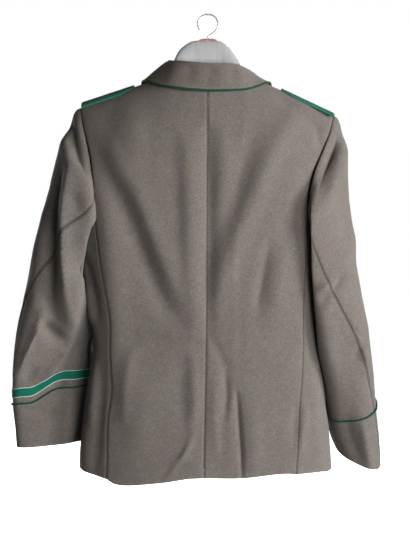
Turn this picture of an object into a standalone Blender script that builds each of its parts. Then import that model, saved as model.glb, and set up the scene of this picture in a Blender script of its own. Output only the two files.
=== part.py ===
# A wool service tunic on a plastic hanger, hanging by the hanger's hook.
# Sizes are in millimetres and become metres when a mesh is made. +Z is up.
# The back of the tunic faces -Y, and the wearer's left side is -X.
# The origin is the inner top of the hook.

import math

import bmesh
import bpy
import numpy as np

for thing in list(bpy.data.objects):
    bpy.data.objects.remove(thing, do_unlink=True)

MM = 0.001
WALL = 2.0  # the wool cloth with its turnings
SEAM_GAP = 0.34  # between two pieces that are sewn together
SLEEVE_SEAM_GAP = 0.5  # the sleeves' seams bend more
LAY_GAP = 0.3  # under a piece that lies on a panel
ROUNDNESS = 2.4  # exponent of the body's level sections, 2 is an ellipse

# Colours with roughness and metallic share.
CLOTH = ("wool_cloth", (0.19, 0.165, 0.14), 0.92, 0.0)
GREEN = ("green_piping", (0.01, 0.23, 0.12), 0.7, 0.0)
BOARD = ("green_board", (0.012, 0.26, 0.15), 0.8, 0.0)
BAND = ("green_band", (0.01, 0.27, 0.15), 0.6, 0.0)
METAL = ("button_metal", (0.62, 0.6, 0.55), 0.35, 1.0)
STEEL = ("hook_steel", (0.6, 0.6, 0.6), 0.3, 1.0)
PLASTIC = ("pale_plastic", (0.62, 0.64, 0.65), 0.45, 0.0)
RED = ("red_plastic", (0.55, 0.04, 0.03), 0.45, 0.0)


def table(columns, *rows):
    """Named columns of numbers, one row for each station, the first column rising."""
    values = np.array(rows, float)
    return {name: values[:, i] for i, name in enumerate(columns.split())}


# Level sections of the body, from the hem to the shoulders.
BODY = table(
    "z left right back front",
    (-860, 238, 230, 84, 82),
    (-790, 235, 226, 82, 80),
    (-710, 226, 217, 77, 76),
    (-640, 216, 209, 71, 73),
    (-595, 212, 206, 69, 73),
    (-540, 220, 207, 73, 78),
    (-460, 237, 211, 80, 86),
    (-400, 239, 216, 84, 88),
    (-300, 243, 232, 87, 86),
    (-180, 250, 246, 86, 80),
    (-90, 250, 246, 82, 74),
)
# The centre back seam drifts to the wearer's left towards the hem.
CENTRE = table("z x", (-860, -8), (-600, -3), (-500, -2), (-90, -1))
# Side back seams, by their places across.
SIDE_BACK = table(
    "z left right",
    (-860, 184, 159),
    (-741, 182, 166),
    (-700, 175, 169),
    (-615, 176, 175),
    (-559, 175, 175),
    (-488, 187, 177),
    (-429, 196, 180),
    (-372, 203, 184),
)
SIDE_FRONT_SHARE = 0.8  # of the half width
# Back and front edges of the armholes, by the share of the way down from tip to join.
ARMHOLE = table(
    "down back_left back_right front_left front_right",
    (0.0, 236, 233, 236, 233),
    (0.2, 228, 222, 222, 216),
    (0.4, 218, 206, 205, 194),
    (0.68, 209, 187, 190, 175),
    (0.89, 204, 184, 188, 171),
    (1.0, 203, 184, 191, 173),
)
JOIN_Z = -372.0  # the side seams meet the armholes
ARMHOLE_BASE_Z = -400.0
NECK_HALF = 75.0
NECK_POINT_Z = -109.0  # where the shoulder seams meet the neck
BACK_NECK_Z = -128.0
NECK_RISE = 0.2  # slope of the shoulder's line inside the neck
TIP = {-1: (236.0, -170.0), 1: (233.0, -185.0)}  # shoulder tips, x and z
SHOULDER_DROP = 140.0  # height over which the shoulder rounds into the back
HEM = table(
    "x z",
    (-240, -832),
    (-215, -842),
    (-190, -847),
    (-171, -857),
    (-148, -860),
    (-81, -854),
    (-25, -846),
    (58, -846),
    (139, -839),
    (184, -843),
    (209, -838),
    (240, -834),
)
FRONT_HEM_Z = -848.0

ARMHOLE_ROWS = 9
LOWER_ROWS = 12
BACK_COLUMNS = 10
SIDE_COLUMNS = 4
FRONT_COLUMNS = 7
SEAM_ROW = 8  # the sleeve's two seams start at this row of the armhole

# Large folds of the back, as straight troughs and ridges across the photo's plane.
BACK_FOLDS = table(
    "x1 z1 x2 z2 width depth",
    (-198, -258, -158, -336, 15, -4.0),
    (-158, -336, -106, -460, 15, -5.0),
    (-106, -460, -60, -540, 14, -3.0),
    (-176, -262, -135, -340, 15, 3.0),
    (-50, -255, -30, -440, 17, -2.5),
    (7, -275, 8, -520, 11, -2.5),
    (110, -220, 82, -290, 16, -4.0),
    (82, -290, 66, -360, 15, -3.0),
    (165, -200, 112, -350, 18, 3.5),
    (112, -350, 78, -510, 18, 3.0),
    (112, -435, 98, -545, 12, -2.5),
    (-140, -615, -165, -662, 12, -4.0),
    (-42, -632, -30, -760, 12, -2.5),
    (-32, -782, -77, -840, 9, -3.5),
    (55, -705, 60, -845, 9, -3.5),
    (185, -740, 162, -812, 12, -3.0),
)

LEFT_SLEEVE = table(
    "station outer_x outer_y outer_z inner_x inner_y inner_z hind_x hind_y hind_z hind_seam",
    (0, -236, 0, -170, -239, 0, -400, 28, -60, 0, 118),
    (1, -268, -4, -230, -242, -10, -418, 43, -74, 0, 104),
    (2, -288, -5, -296, -244, -8, -436, 50, -80, -8, 84),
    (3, -308, -5, -378, -246, 4, -468, 48, -80, -12, 56),
    (4, -327, -5, -467, -224, 34, -524, 27, -76, -15, 36),
    (5, -345, -4, -545, -208, 50, -572, 2, -62, -14, 16),
    (6, -358, -2, -620, -214, 52, -610, -8, -46, -8, 5),
    (7, -363, 5, -690, -210, 60, -672, -12, -36, 0, 0),
    (8, -355, 10, -796, -212, 62, -783, -10, -31, -6, -5),
)
RIGHT_SLEEVE = table(
    "station outer_x outer_y outer_z inner_x inner_y inner_z hind_x hind_y hind_z hind_seam",
    (0, 233, 0, -185, 217, 0, -400, -30, -57, 0, 118),
    (1, 256, -4, -236, 214, -9, -420, -41, -73, 0, 110),
    (2, 259, -5, -312, 212, -8, -442, -47, -76, -8, 103),
    (3, 268, -3, -390, 214, 0, -474, -50, -74, -12, 84),
    (4, 278, 0, -480, 214, 20, -532, -46, -70, -18, 62),
    (5, 294, 0, -560, 212, 36, -596, -34, -63, -24, 46),
    (6, 303, 0, -640, 214, 52, -652, -21, -57, -28, 34),
    (7, 311, 2, -722, 218, 66, -720, -7, -52, -30, 21),
    (8, 320, 5, -829, 233, 72, -776, -8, -50, -21, 8),
)
UPPER_SPAN = 210.0  # degrees of the sleeve that its upper half covers
FRONT_LEAN = 0.6  # of the hind side's shift across, for the sleeve's front side
HEAD = {"end": 0.3, "half_depth": 24.0, "low": -300.0}  # where the sleeve's head may round in over the tip
SLEEVE_STATIONS = (0, 0.12, 0.35, 0.7, 1.1, 1.6, 2.1, 2.7, 3.3, 3.9, 4.5, 5, 5.5, 6, 6.45)
CUFF = {
    -1: {"band": (6.89, 7.085), "piping": (7.19, 7.235), "end": 8.0},
    1: {"band": None, "piping": (6.92, 6.975), "end": 8.0},
}
# The left cuff's band steps down over the forearm's fold.
BAND_STEP = {"x": -308.0, "half": 12.0, "height": 20.0}

SLEEVE_FOLDS = {
    -1: table(
        "x1 z1 x2 z2 width depth",
        (-272, -330, -274, -520, 10, 5.0),
        (-254, -192, -222, -285, 9, -4.0),
        (-236, -500, -266, -606, 12, 7.0),
        (-306, -575, -268, -596, 14, -9.0),
        (-325, -563, -352, -642, 12, 5.0),
        (-265, -610, -318, -682, 12, 5.0),
    ),
    1: table(
        "x1 z1 x2 z2 width depth",
        (254, -222, 218, -286, 12, -5.0),
        (236, -512, 252, -497, 10, -4.0),
        (262, -560, 296, -660, 12, 3.0),
    ),
}

BREAK_ROW = 2  # rows below the armhole's join where the lapels start to turn back
LAP = 20.0  # each front runs this far past the middle
LAP_LIFT = 3.2  # the left front lies over the right one
LAPEL_TOP = 0.825  # share of the roll line where the gorge meets it
LAPEL_WIDTH = 80.0
LAPEL_GAP = 0.9
GORGE_DROP = 50.0  # from the roll line down to the notch, along the collar's end
NOTCH_RISE = 4.0
LAPEL_START = {-1: 0.04, 1: 0.25}  # share of the roll line, the right one under the lap

COLLAR = table(
    "station fold_x fold_y fold_z edge_x edge_y edge_z",
    (0.0, 0, -52, -94, 0, -71, -144),
    (0.15, 25, -49, -94, 38, -69, -142),
    (0.3, 49, -38, -93, 75, -58, -137),
    (0.45, 69, -18, -92, 103, -30, -128),
    (0.55, 75, 0, -91, 116, -2, -122),
    (0.7, 75, 27, -103, 118, 34, -140),
    (0.85, 68, 50, -130, 110, 62, -172),
    (1.0, 60, 68, -165, 98, 80, -206),
)
# The fold stands higher on the wearer's left and drops earlier on the right.
COLLAR_LEAN = {
    -1: {"rise": 0.1, "drop": 0.0, "edge_rise": 0.035, "reach": 1.02},
    1: {"rise": 0.0, "drop": 8.0, "edge_rise": -0.035, "reach": 0.955},
}
COLLAR_SWELL = (5.0, 1.5)  # at the back and at the sides
COLLAR_ROWS = 28
COLLAR_COLUMNS = 4
STAND_END = 0.72
FALL_GAP = 3.8  # from the body to the outside of the fall
PIPING_RADIUS = 2.1

BOARD_IN = 136.0
BOARD_OUT = 233.0
BOARD_HALF = 22.0
BOARD_THICK = 3.0
BOARD_SHAPE = {-1: {"bend": 42.0, "lift": 4.5}, 1: {"bend": 60.0, "lift": 1.0}}

BUTTON_RADIUS = 10.5
BUTTON_RISE = 5.0
BUTTON_COUNT = 4
BUTTON_ROWS = 2  # rows of the front between two buttons

# The hanger's profile from the middle outwards. Past the neck the top follows the shoulders.
HANGER = {
    -1: table(
        "x top height half_depth",
        (0, -46.0, 46, 7),
        (28, -47.5, 46, 7),
        (41, -54, 46, 7.5),
        (54, -66, 42, 8),
        (62.5, -83, 36, 8),
        (67, -98, 32, 8),
        (71, -114, 28, 8.5),
    ),
    1: table(
        "x top height half_depth",
        (0, -46.0, 46, 7),
        (22, -47.5, 46, 7),
        (33, -54, 46, 7.5),
        (44.5, -66, 42, 8),
        (57, -84, 36, 8),
        (65, -99, 32, 8),
        (71, -114, 28, 8.5),
    ),
}
HANGER_SEAT = 0.8  # under the inside of the shoulders
HANGER_END = 214.0
ARM_STEPS = 7
ARM_HEIGHT = (28.0, 22.0)
ARM_HALF_DEPTH = (9.0, 13.5)
CAP_HALF = 16.0
CAP_THICK = 3.2

WIRE_RADIUS = 1.7
HOOK_INNER = 17.0
HOOK_FOOT_Z = -42.0


def smooth(tab, column, at):
    """A column's value at a place along the first column, on a curve through the rows."""
    keys = next(iter(tab.values()))
    values = tab[column]
    at = min(max(at, keys[0]), keys[-1])
    i = min(int(np.searchsorted(keys, at, side="right")) - 1, len(keys) - 2)
    gap = keys[i + 1] - keys[i]
    share = (at - keys[i]) / gap
    before = max(i - 1, 0)
    after = min(i + 2, len(keys) - 1)
    start = (values[i + 1] - values[before]) / (keys[i + 1] - keys[before]) * gap
    end = (values[after] - values[i]) / (keys[after] - keys[i]) * gap
    square = share * share
    cube = square * share
    return (
        (2 * cube - 3 * square + 1) * values[i]
        + (cube - 2 * square + share) * start
        + (3 * square - 2 * cube) * values[i + 1]
        + (cube - square) * end
    )


def signed_power(value, power):
    return math.copysign(abs(value) ** power, value)


def ease(value):
    """0 below 0, 1 above 1 and a soft step between."""
    value = min(max(value, 0.0), 1.0)
    return value * value * (3 - 2 * value)


def unit(vector):
    return vector / max(np.linalg.norm(vector), 1e-9)


def shoulder_line(x):
    """Height of the shoulder's ridge over a place across."""
    if abs(x) <= NECK_HALF:
        return NECK_POINT_Z + NECK_RISE * (NECK_HALF - abs(x))
    tip_x, tip_z = TIP[1 if x > 0 else -1]
    slope = (tip_z - NECK_POINT_Z) / (tip_x - NECK_HALF)
    return NECK_POINT_Z + slope * (abs(x) - NECK_HALF)


def shoulder_cover(x, z):
    """Share of the body's depth this far below the ridge, 0 on the ridge."""
    down = min(max((shoulder_line(x) - z) / SHOULDER_DROP, 0.0), 1.0)
    return math.sqrt(1 - (1 - down) ** 2)


def middle_and_width(z, side):
    middle = smooth(CENTRE, "x", z)
    if side > 0:
        return middle, smooth(BODY, "right", z) - middle
    return middle, smooth(BODY, "left", z) + middle


def fold_height(folds, x, z):
    """Sum of the soft troughs and ridges at a place."""
    total = 0.0
    for x1, z1, x2, z2, width, depth in zip(*folds.values()):
        along_x = x2 - x1
        along_z = z2 - z1
        share = ((x - x1) * along_x + (z - z1) * along_z) / (along_x**2 + along_z**2)
        share = min(max(share, 0.0), 1.0)
        off = math.hypot(x - x1 - share * along_x, z - z1 - share * along_z)
        total += depth * math.exp(-((off / width) ** 2))
    return total


def body_base(turn, z):
    """A point of the body. The turn is 0 at the centre back and grows to the front, + to the right."""
    side = math.sin(turn)
    facing = math.cos(turn)
    middle, width = middle_and_width(z, side)
    x = middle + width * signed_power(side, 2 / ROUNDNESS)
    depth = smooth(BODY, "back" if facing > 0 else "front", z)
    y = -depth * signed_power(facing, 2 / ROUNDNESS) * shoulder_cover(x, z)
    return np.array((x, y, z))


def body_normal(turn, z):
    """The way out of the body, level across the shoulder's ridge."""
    point = body_base(turn, z)
    ridge = shoulder_line(point[0])
    if z > ridge - 0.05:
        ahead = shoulder_line(point[0] + 1) - shoulder_line(point[0] - 1)
        return unit(np.array((-ahead / 2, 0.0, 1.0)))
    step = 0.004
    rise = min(1.0, (ridge - z) / 3)
    across = body_base(turn + step, z) - body_base(turn - step, z)
    up = body_base(turn, z + rise) - body_base(turn, z - rise)
    return unit(np.cross(across, up))


def body_point(turn, z):
    point = body_base(turn, z)
    facing = math.cos(turn)
    if facing <= 0:
        return point
    share = ease(facing / 0.3) * ease((shoulder_line(point[0]) - z) / 60)
    return point + body_normal(turn, z) * fold_height(BACK_FOLDS, point[0], z) * share


def turn_at(x, z, front):
    """The turn of a place across, on the back or on the front."""
    middle = smooth(CENTRE, "x", z)
    side = 1 if x > middle else -1
    width = middle_and_width(z, side)[1]
    share = min(abs(x - middle) / width, 1.0)
    angle = math.asin(share ** (ROUNDNESS / 2))
    return side * (math.pi - angle) if front else side * angle


def front_edge_x(z, side):
    """Where a front ends across: its lapped edge, and the roll line above the break."""
    if z <= BREAK_Z:
        return -side * LAP
    share = (z - BREAK_Z) / (NECK_POINT_Z - BREAK_Z)
    return side * (-LAP + (NECK_HALF + LAP) * min(share, 1.0))


def front_edge_turn(z, side):
    x = front_edge_x(z, side)
    turn = turn_at(x, z, front=True)
    if turn * side < 0:
        turn += side * 2 * math.pi
    return turn


def seam_turn(z, side, front):
    """The turn of a side seam, and of the armhole's edge above it."""
    name = "left" if side < 0 else "right"
    if z > JOIN_Z:
        edge = "front_" if front else "back_"
        down = (TIP[side][1] - z) / (TIP[side][1] - JOIN_Z)
        x = smooth(ARMHOLE, edge + name, down)
        return turn_at(side * x, z, front)
    if not front:
        return turn_at(side * smooth(SIDE_BACK, name, z), z, front)
    middle, width = middle_and_width(z, side)
    joined = smooth(ARMHOLE, "front_" + name, 1.0)
    share = SIDE_FRONT_SHARE + ease((z - JOIN_Z + 90) / 90) * (
        (side * joined - middle) * side / middle_and_width(JOIN_Z, side)[1]
        - SIDE_FRONT_SHARE
    )
    return turn_at(middle + side * width * share, z, front)


def back_top(x):
    """Height of the back's upper edge: neck curve, then the shoulder seam."""
    if abs(x) < NECK_HALF:
        return NECK_POINT_Z + (BACK_NECK_Z - NECK_POINT_Z) * (1 - (x / NECK_HALF) ** 2)
    return shoulder_line(x)


def top_of_column(turn_of, line):
    """Height where a column of the panel meets its upper edge."""
    low, high = JOIN_Z, -60.0
    for _ in range(50):
        z = (low + high) / 2
        x = body_base(turn_of(z), z)[0]
        if line(x) > z:
            low = z
        else:
            high = z
    return (low + high) / 2


def row_heights(top, bottom):
    """Rows of a column, close together where the shoulder is round."""
    heights = []
    for i in range(ARMHOLE_ROWS):
        share = i / ARMHOLE_ROWS
        heights.append(top + (JOIN_Z - top) * share**2)
    for i in range(LOWER_ROWS + 1):
        heights.append(JOIN_Z + (bottom - JOIN_Z) * i / LOWER_ROWS)
    return heights


def hem_height(turn, x):
    """The hem is level under the fronts and follows the photo round the back."""
    share = ease((math.cos(turn) + 0.4) / 0.5)
    return FRONT_HEM_Z + (smooth(HEM, "z", x) - FRONT_HEM_Z) * share


def hem_of_column(turn_of):
    z = FRONT_HEM_Z
    for _ in range(6):
        turn = turn_of(z)
        z = hem_height(turn, body_base(turn, z)[0])
    return z


BREAK_Z = JOIN_Z + (FRONT_HEM_Z - JOIN_Z) * BREAK_ROW / LOWER_ROWS


def grid_normals(points, closed):
    """Unit normals of a grid, square to the mean way of the steps before and after each point."""
    rows, columns = points.shape[:2]
    normals = np.zeros_like(points)
    for i in range(rows):
        for j in range(columns):
            here = points[i, j]
            below = unit(points[i + 1, j] - here) if i < rows - 1 else 0
            above = unit(here - points[i - 1, j]) if i > 0 else 0
            after = before = 0
            if closed or j < columns - 1:
                after = unit(points[i, (j + 1) % columns] - here)
            if closed or j > 0:
                before = unit(here - points[i, j - 1])
            normals[i, j] = unit(np.cross(after + before, below + above))
    return normals


def material(finish):
    name, colour, roughness, metallic = finish
    made = bpy.data.materials.new(name)
    made.use_nodes = True
    shader = made.node_tree.nodes["Principled BSDF"]
    shader.inputs["Base Color"].default_value = (*colour, 1.0)
    shader.inputs["Roughness"].default_value = roughness
    shader.inputs["Metallic"].default_value = metallic
    made.diffuse_color = (*colour, 1.0)
    return made


def add_object(name, shape, finish):
    """Puts a bmesh in millimetres into the scene as an object in metres."""
    bmesh.ops.recalc_face_normals(shape, faces=shape.faces)
    bmesh.ops.scale(shape, vec=(MM, MM, MM), verts=shape.verts)
    mesh = bpy.data.meshes.new(name)
    shape.to_mesh(mesh)
    shape.free()
    mesh.shade_smooth()
    mesh.set_sharp_from_angle(angle=math.radians(40))
    mesh.materials.append(material(finish))
    made = bpy.data.objects.new(name, mesh)
    bpy.context.scene.collection.objects.link(made)
    return made


def add_wall(name, outer, inner, finish, closed=False):
    """A closed wall between two grids of points. A closed grid joins its last column to its first."""
    rows, columns = outer.shape[:2]
    shape = bmesh.new()
    out = [[shape.verts.new(p) for p in row] for row in outer]
    back = [[shape.verts.new(p) for p in row] for row in inner]
    steps = columns if closed else columns - 1

    def face(a, b, c, d):
        shape.faces.new((a, b, c))
        shape.faces.new((a, c, d))

    for i in range(rows - 1):
        for j in range(steps):
            k = (j + 1) % columns
            face(out[i][j], out[i][k], out[i + 1][k], out[i + 1][j])
            face(back[i][j], back[i + 1][j], back[i + 1][k], back[i][k])
    for j in range(steps):
        k = (j + 1) % columns
        face(out[0][k], out[0][j], back[0][j], back[0][k])
        face(out[-1][j], out[-1][k], back[-1][k], back[-1][j])
    if not closed:
        for i in range(rows - 1):
            face(out[i][0], out[i + 1][0], back[i + 1][0], back[i][0])
            face(out[i][-1], back[i][-1], back[i + 1][-1], out[i + 1][-1])
    return add_object(name, shape, finish)


def pulled_back(points, edges):
    """The grid with the named edges moved in by half a seam's gap."""
    moved = points.copy()
    half = SEAM_GAP / 2
    if "first_row" in edges:
        for j in range(points.shape[1]):
            moved[0, j] += unit(points[1, j] - points[0, j]) * half
    if "last_row" in edges:
        for j in range(points.shape[1]):
            moved[-1, j] += unit(points[-2, j] - points[-1, j]) * half
    if "first_column" in edges:
        for i in range(points.shape[0]):
            moved[i, 0] += unit(points[i, 1] - points[i, 0]) * half
    if "last_column" in edges:
        for i in range(points.shape[0]):
            moved[i, -1] += unit(points[i, -2] - points[i, -1]) * half
    return moved


def panel(name, points, normals, edges, finish=CLOTH):
    outer = pulled_back(points, edges)
    return add_wall(name, outer, outer - normals * WALL, finish)


def back_grid(side):
    """Points and normals of a back panel, from the centre seam to the side, top row first."""
    tip_z = TIP[side][1]

    def edge_turn(z):
        return seam_turn(min(z, tip_z), side, front=False)

    tip_turn = edge_turn(tip_z)
    neck_share = turn_at(side * NECK_HALF, NECK_POINT_Z, front=False) / tip_turn
    inside = max(2, round(BACK_COLUMNS * neck_share))
    outside = BACK_COLUMNS - inside
    shares = [neck_share * j / inside for j in range(inside)]
    shares += [neck_share + (1 - neck_share) * j / outside for j in range(outside + 1)]
    columns = []
    for share in shares:

        def turn_of(z, share=share):
            return edge_turn(z) * share

        top = tip_z if share == 1 else top_of_column(turn_of, back_top)
        heights = row_heights(top, hem_of_column(turn_of))
        columns.append([(turn_of(z), z) for z in heights])
    return placed(columns)


def front_grid(side):
    """Points and normals of a front panel, from its front edge to the side, top row first."""
    tip_z = TIP[side][1]
    columns = []
    for j in range(FRONT_COLUMNS + 1):
        share = j / FRONT_COLUMNS

        def turn_of(z, share=share):
            inner = front_edge_turn(z, side)
            outer = seam_turn(min(z, tip_z), side, front=True)
            return inner + (outer - inner) * share

        top = tip_z if j == FRONT_COLUMNS else NECK_POINT_Z
        if 0 < j < FRONT_COLUMNS:
            top = top_of_column(turn_of, shoulder_line)
        heights = row_heights(top, hem_of_column(turn_of))
        columns.append([(turn_of(z), z) for z in heights])
    points, normals = placed(columns)
    if side < 0:
        for i in range(points.shape[0]):
            for j in range(points.shape[1]):
                points[i, j] += normals[i, j] * lap_lift(points[i, j, 0], points[i, j, 2])
    return points, normals


def lap_lift(x, z):
    """How far the left front stands off where it lies over the right one."""
    return LAP_LIFT * ease((x + 60) / 35) * ease((-260 - z) / 120)


def side_grid(side):
    """Points and normals of a side panel, from the back seam to the front seam."""
    columns = []
    for j in range(SIDE_COLUMNS + 1):
        share = j / SIDE_COLUMNS

        def turn_of(z, share=share):
            behind = seam_turn(z, side, front=False)
            ahead = seam_turn(z, side, front=True)
            return behind + (ahead - behind) * share

        top = ARMHOLE_BASE_Z + (JOIN_Z - ARMHOLE_BASE_Z) * (2 * share - 1) ** 2
        bottom = hem_of_column(turn_of)
        heights = [top + (bottom - top) * i / LOWER_ROWS for i in range(LOWER_ROWS + 1)]
        columns.append([(turn_of(z), z) for z in heights])
    return placed(columns)


def placed(columns):
    """Turns and heights made points and normals, rows first."""
    points = np.array([[body_point(t, z) for t, z in column] for column in columns])
    normals = np.array([[body_normal(t, z) for t, z in column] for column in columns])
    return points.transpose(1, 0, 2), normals.transpose(1, 0, 2)


def armhole_ring(back, side_panel, front):
    """Points and normals round an armhole: hind seam, over the tip, front seam, under the arm."""
    loop = []
    for row in range(SEAM_ROW, -1, -1):
        loop.append((back[0][row, -1], back[1][row, -1]))
    for row in range(1, ARMHOLE_ROWS + 1):
        loop.append((front[0][row, -1], front[1][row, -1]))
    for j in range(SIDE_COLUMNS - 1, -1, -1):
        loop.append((side_panel[0][0, j], side_panel[1][0, j]))
    for row in range(ARMHOLE_ROWS - 1, SEAM_ROW, -1):
        loop.append((back[0][row, -1], back[1][row, -1]))
    return np.array([p for p, _ in loop]), np.array([n for _, n in loop])


UPPER_COLUMNS = 2 * SEAM_ROW  # of the sleeve's ring, from the hind seam to the front seam


def sleeve_angle(station, side, column, ring_size, ring_angles):
    """The angle of a column round the sleeve: 0 outer, 90 back, 180 inner, -90 front."""
    sleeve = LEFT_SLEEVE if side < 0 else RIGHT_SLEEVE
    settled = ease(station / 1.5)
    hind = smooth(sleeve, "hind_seam", station)
    hind = ring_angles[0] + (hind - ring_angles[0]) * settled
    front = hind - UPPER_SPAN
    front = ring_angles[UPPER_COLUMNS] + (front - ring_angles[UPPER_COLUMNS]) * settled
    if column <= UPPER_COLUMNS:
        first, last, start, end, count = 0, UPPER_COLUMNS, hind, front, UPPER_COLUMNS
        finish = ring_angles[last]
    else:
        first, last, start, end = UPPER_COLUMNS, ring_size, front, hind - 360
        count = ring_size - UPPER_COLUMNS
        finish = ring_angles[0] - 360
    own = (ring_angles[column] - ring_angles[first]) / (finish - ring_angles[first])
    even = (column - first) / count
    share = own + (even - own) * settled
    return start + (end - start) * share


def sleeve_oval(station, side, angle):
    sleeve = LEFT_SLEEVE if side < 0 else RIGHT_SLEEVE
    outer = np.array([smooth(sleeve, "outer_" + axis, station) for axis in "xyz"])
    inner = np.array([smooth(sleeve, "inner_" + axis, station) for axis in "xyz"])
    hind = np.array([smooth(sleeve, "hind_" + axis, station) for axis in "xyz"])
    turn = math.radians(angle)
    lean = hind[0] * math.sin(turn) ** 2 * (1 if math.sin(turn) > 0 else FRONT_LEAN)
    return (
        (outer + inner) / 2
        + (outer - inner) / 2 * signed_power(math.cos(turn), 0.92)
        + hind * (0, 1, 1) * signed_power(math.sin(turn), 0.92)
        + np.array((lean, 0.0, 0.0))
    )


def clear_of_body(point, margin):
    """The point, moved straight out of the body where it would be in it."""
    x, y, z = point
    if z > ARMHOLE_BASE_Z + 30 and abs(x) > 150:
        margin = min(margin, 1.0)
    side = 1 if x > 0 else -1
    middle, width = middle_and_width(z, side)
    depth = smooth(BODY, "back" if y < 0 else "front", z) * shoulder_cover(x, z)
    if depth < 1:
        return point
    across = abs(x - middle) / (width + margin)
    through = abs(y) / (depth + margin)
    inside = across**ROUNDNESS + through**ROUNDNESS
    if inside >= 1:
        return point
    grow = inside ** (-1 / ROUNDNESS)
    return np.array((middle + (x - middle) * grow, y * grow, z))


def stand_off(point, gap):
    """The point, moved out where it is nearer than the gap to the shoulders, back or front."""
    x, y, z = point
    side = 1 if x > 0 else -1
    middle, width = middle_and_width(z, side)
    share = min(abs(x - middle) / width, 0.999)
    depth = smooth(BODY, "back" if y < 0 else "front", z)
    depth *= (1 - share**ROUNDNESS) ** (1 / ROUNDNESS)
    ratio = abs(y) / depth
    if ratio < 0.75:
        level = math.sqrt(1 - ratio**2)
        surface = shoulder_line(x) - SHOULDER_DROP * (1 - level)
        fall = SHOULDER_DROP * ratio / (depth * level)
        lean = (shoulder_line(x + 1) - shoulder_line(x - 1)) / 2
        normal = unit(np.array((-lean, math.copysign(fall, y), 1.0)))
        distance = (z - surface) * normal[2]
    else:
        turn = turn_at(x, z, y > 0)
        normal = body_normal(turn, z)
        distance = (abs(y) - abs(body_base(turn, z)[1])) * abs(normal[1])
    return point + normal * max(gap - distance, 0.0)


def sleeve_stations(side):
    cuff = CUFF[side]
    stops = set(SLEEVE_STATIONS) | {cuff["end"]} | set(cuff["piping"])
    if cuff["band"]:
        stops |= set(cuff["band"])
        stops |= {7.45, 7.7}
    else:
        stops |= {6.75, 7.3, 7.65}
    return sorted(stops)


def sleeve_grid(side, ring, ring_normals):
    """The whole sleeve as closed rings from the armhole to the cuff."""
    ring_size = len(ring)
    top = ring[:, 2].max()
    low = ring[:, 2].min()
    ring_angles = []
    for column, point in enumerate(ring):
        share = (point[2] - (top + low) / 2) / ((top - low) / 2)
        angle = math.degrees(math.acos(min(max(share, -1.0), 1.0)))
        if SEAM_ROW < column <= SEAM_ROW + ARMHOLE_ROWS + SIDE_COLUMNS // 2:
            angle = -angle
        elif column > SEAM_ROW + ARMHOLE_ROWS + SIDE_COLUMNS // 2:
            angle = angle - 360
        ring_angles.append(angle)
    starts = [sleeve_oval(0, side, angle) for angle in ring_angles]
    stations = sleeve_stations(side)
    points = np.zeros((len(stations), ring_size, 3))
    for i, station in enumerate(stations):
        away = 1 - ease(station / 2.2)
        for j in range(ring_size):
            angle = sleeve_angle(station, side, j, ring_size, ring_angles)
            point = sleeve_oval(station, side, angle) + (ring[j] - starts[j]) * away
            if side < 0:
                step = ease((point[0] - BAND_STEP["x"]) / BAND_STEP["half"] / 2 + 0.5) - 0.5
                near = 1 - min(abs(station - 7), 1)
                point[2] += BAND_STEP["height"] * step * ease(near)
            if station > 0:
                cleared = clear_of_body(point, 5.6 * ease(station / 0.6) + 0.4)
                loose = 0.6 * ease((HEAD["end"] - station) / HEAD["end"] * 2)
                loose *= ease((HEAD["half_depth"] - abs(point[1])) / 10)
                loose *= ease((point[2] - HEAD["low"]) / 50)
                point = point + (cleared - point) * (1 - loose)
            points[i, j] = point
    normals = grid_normals(points, closed=True)
    middle = points.mean(axis=1, keepdims=True)
    if np.sum((points - middle) * normals) < 0:
        normals = -normals
    for i, station in enumerate(stations):
        for j in range(ring_size):
            facing = ease(-normals[i, j, 1] / 0.5) * ease(station / 0.6)
            height = fold_height(SLEEVE_FOLDS[side], points[i, j, 0], points[i, j, 2])
            points[i, j] += normals[i, j] * height * facing
    points[0], normals[0] = seam_ring(points, normals, ring_normals)
    return stations, points, normals


def seam_ring(points, normals, ring_normals):
    """The sleeve's first ring, set off the armhole's edge, with its wall clear of the body's."""
    seated = points[0].copy()
    facing = normals[0].copy()
    for j, out in enumerate(ring_normals):
        away = unit(points[1, j] - points[0, j])
        valley = ease((np.dot(away, out) + 0.1) / 0.4)
        seated[j] += away * 0.25 * (1 - valley) + out * 0.4 * valley
        facing[j] = unit(normals[0, j] * valley + out * (1 - valley))
    return seated, facing


def seam_shift(points, normals, column):
    """Half a seam's gap along the way round the sleeve, at each point of a column."""
    shifts = []
    for i in range(points.shape[0]):
        here = points[i, column]
        after = unit(points[i, (column + 1) % points.shape[1]] - here)
        before = unit(here - points[i, column - 1])
        along = after + before
        along = along - normals[i, column] * np.dot(along, normals[i, column])
        shifts.append(unit(along) * SLEEVE_SEAM_GAP / 2)
    return np.array(shifts)


def add_sleeve(side, ring, ring_normals):
    name = "left" if side < 0 else "right"
    stations, points, normals = sleeve_grid(side, ring, ring_normals)
    hind = seam_shift(points, normals, 0)
    front = seam_shift(points, normals, UPPER_COLUMNS)
    upper = list(range(UPPER_COLUMNS + 1))
    under = list(range(UPPER_COLUMNS, len(ring))) + [0]
    for half, columns, start, end in (
        ("sleeve_upper_", upper, hind, front),
        ("sleeve_under_", under, front, hind),
    ):
        outer = points[:, columns].copy()
        outer[:, 0] += start
        outer[:, -1] -= end
        add_wall(half + name, outer, outer - normals[:, columns] * WALL, CLOTH)
    cuff = CUFF[side]
    add_ring("cuff_piping_" + name, stations, points, normals, cuff["piping"], 1.8, GREEN)
    if cuff["band"]:
        add_ring("cuff_band_" + name, stations, points, normals, cuff["band"], 1.0, BAND)


def add_ring(name, stations, points, normals, span, thick, finish):
    """A strip round the sleeve, made of the sleeve's own points moved out."""
    first = stations.index(span[0])
    last = stations.index(span[1])
    rows = slice(first, last + 1)
    inner = points[rows] + normals[rows] * LAY_GAP
    outer = points[rows] + normals[rows] * (LAY_GAP + thick)
    add_wall(name, outer, inner, finish, closed=True)


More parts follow.
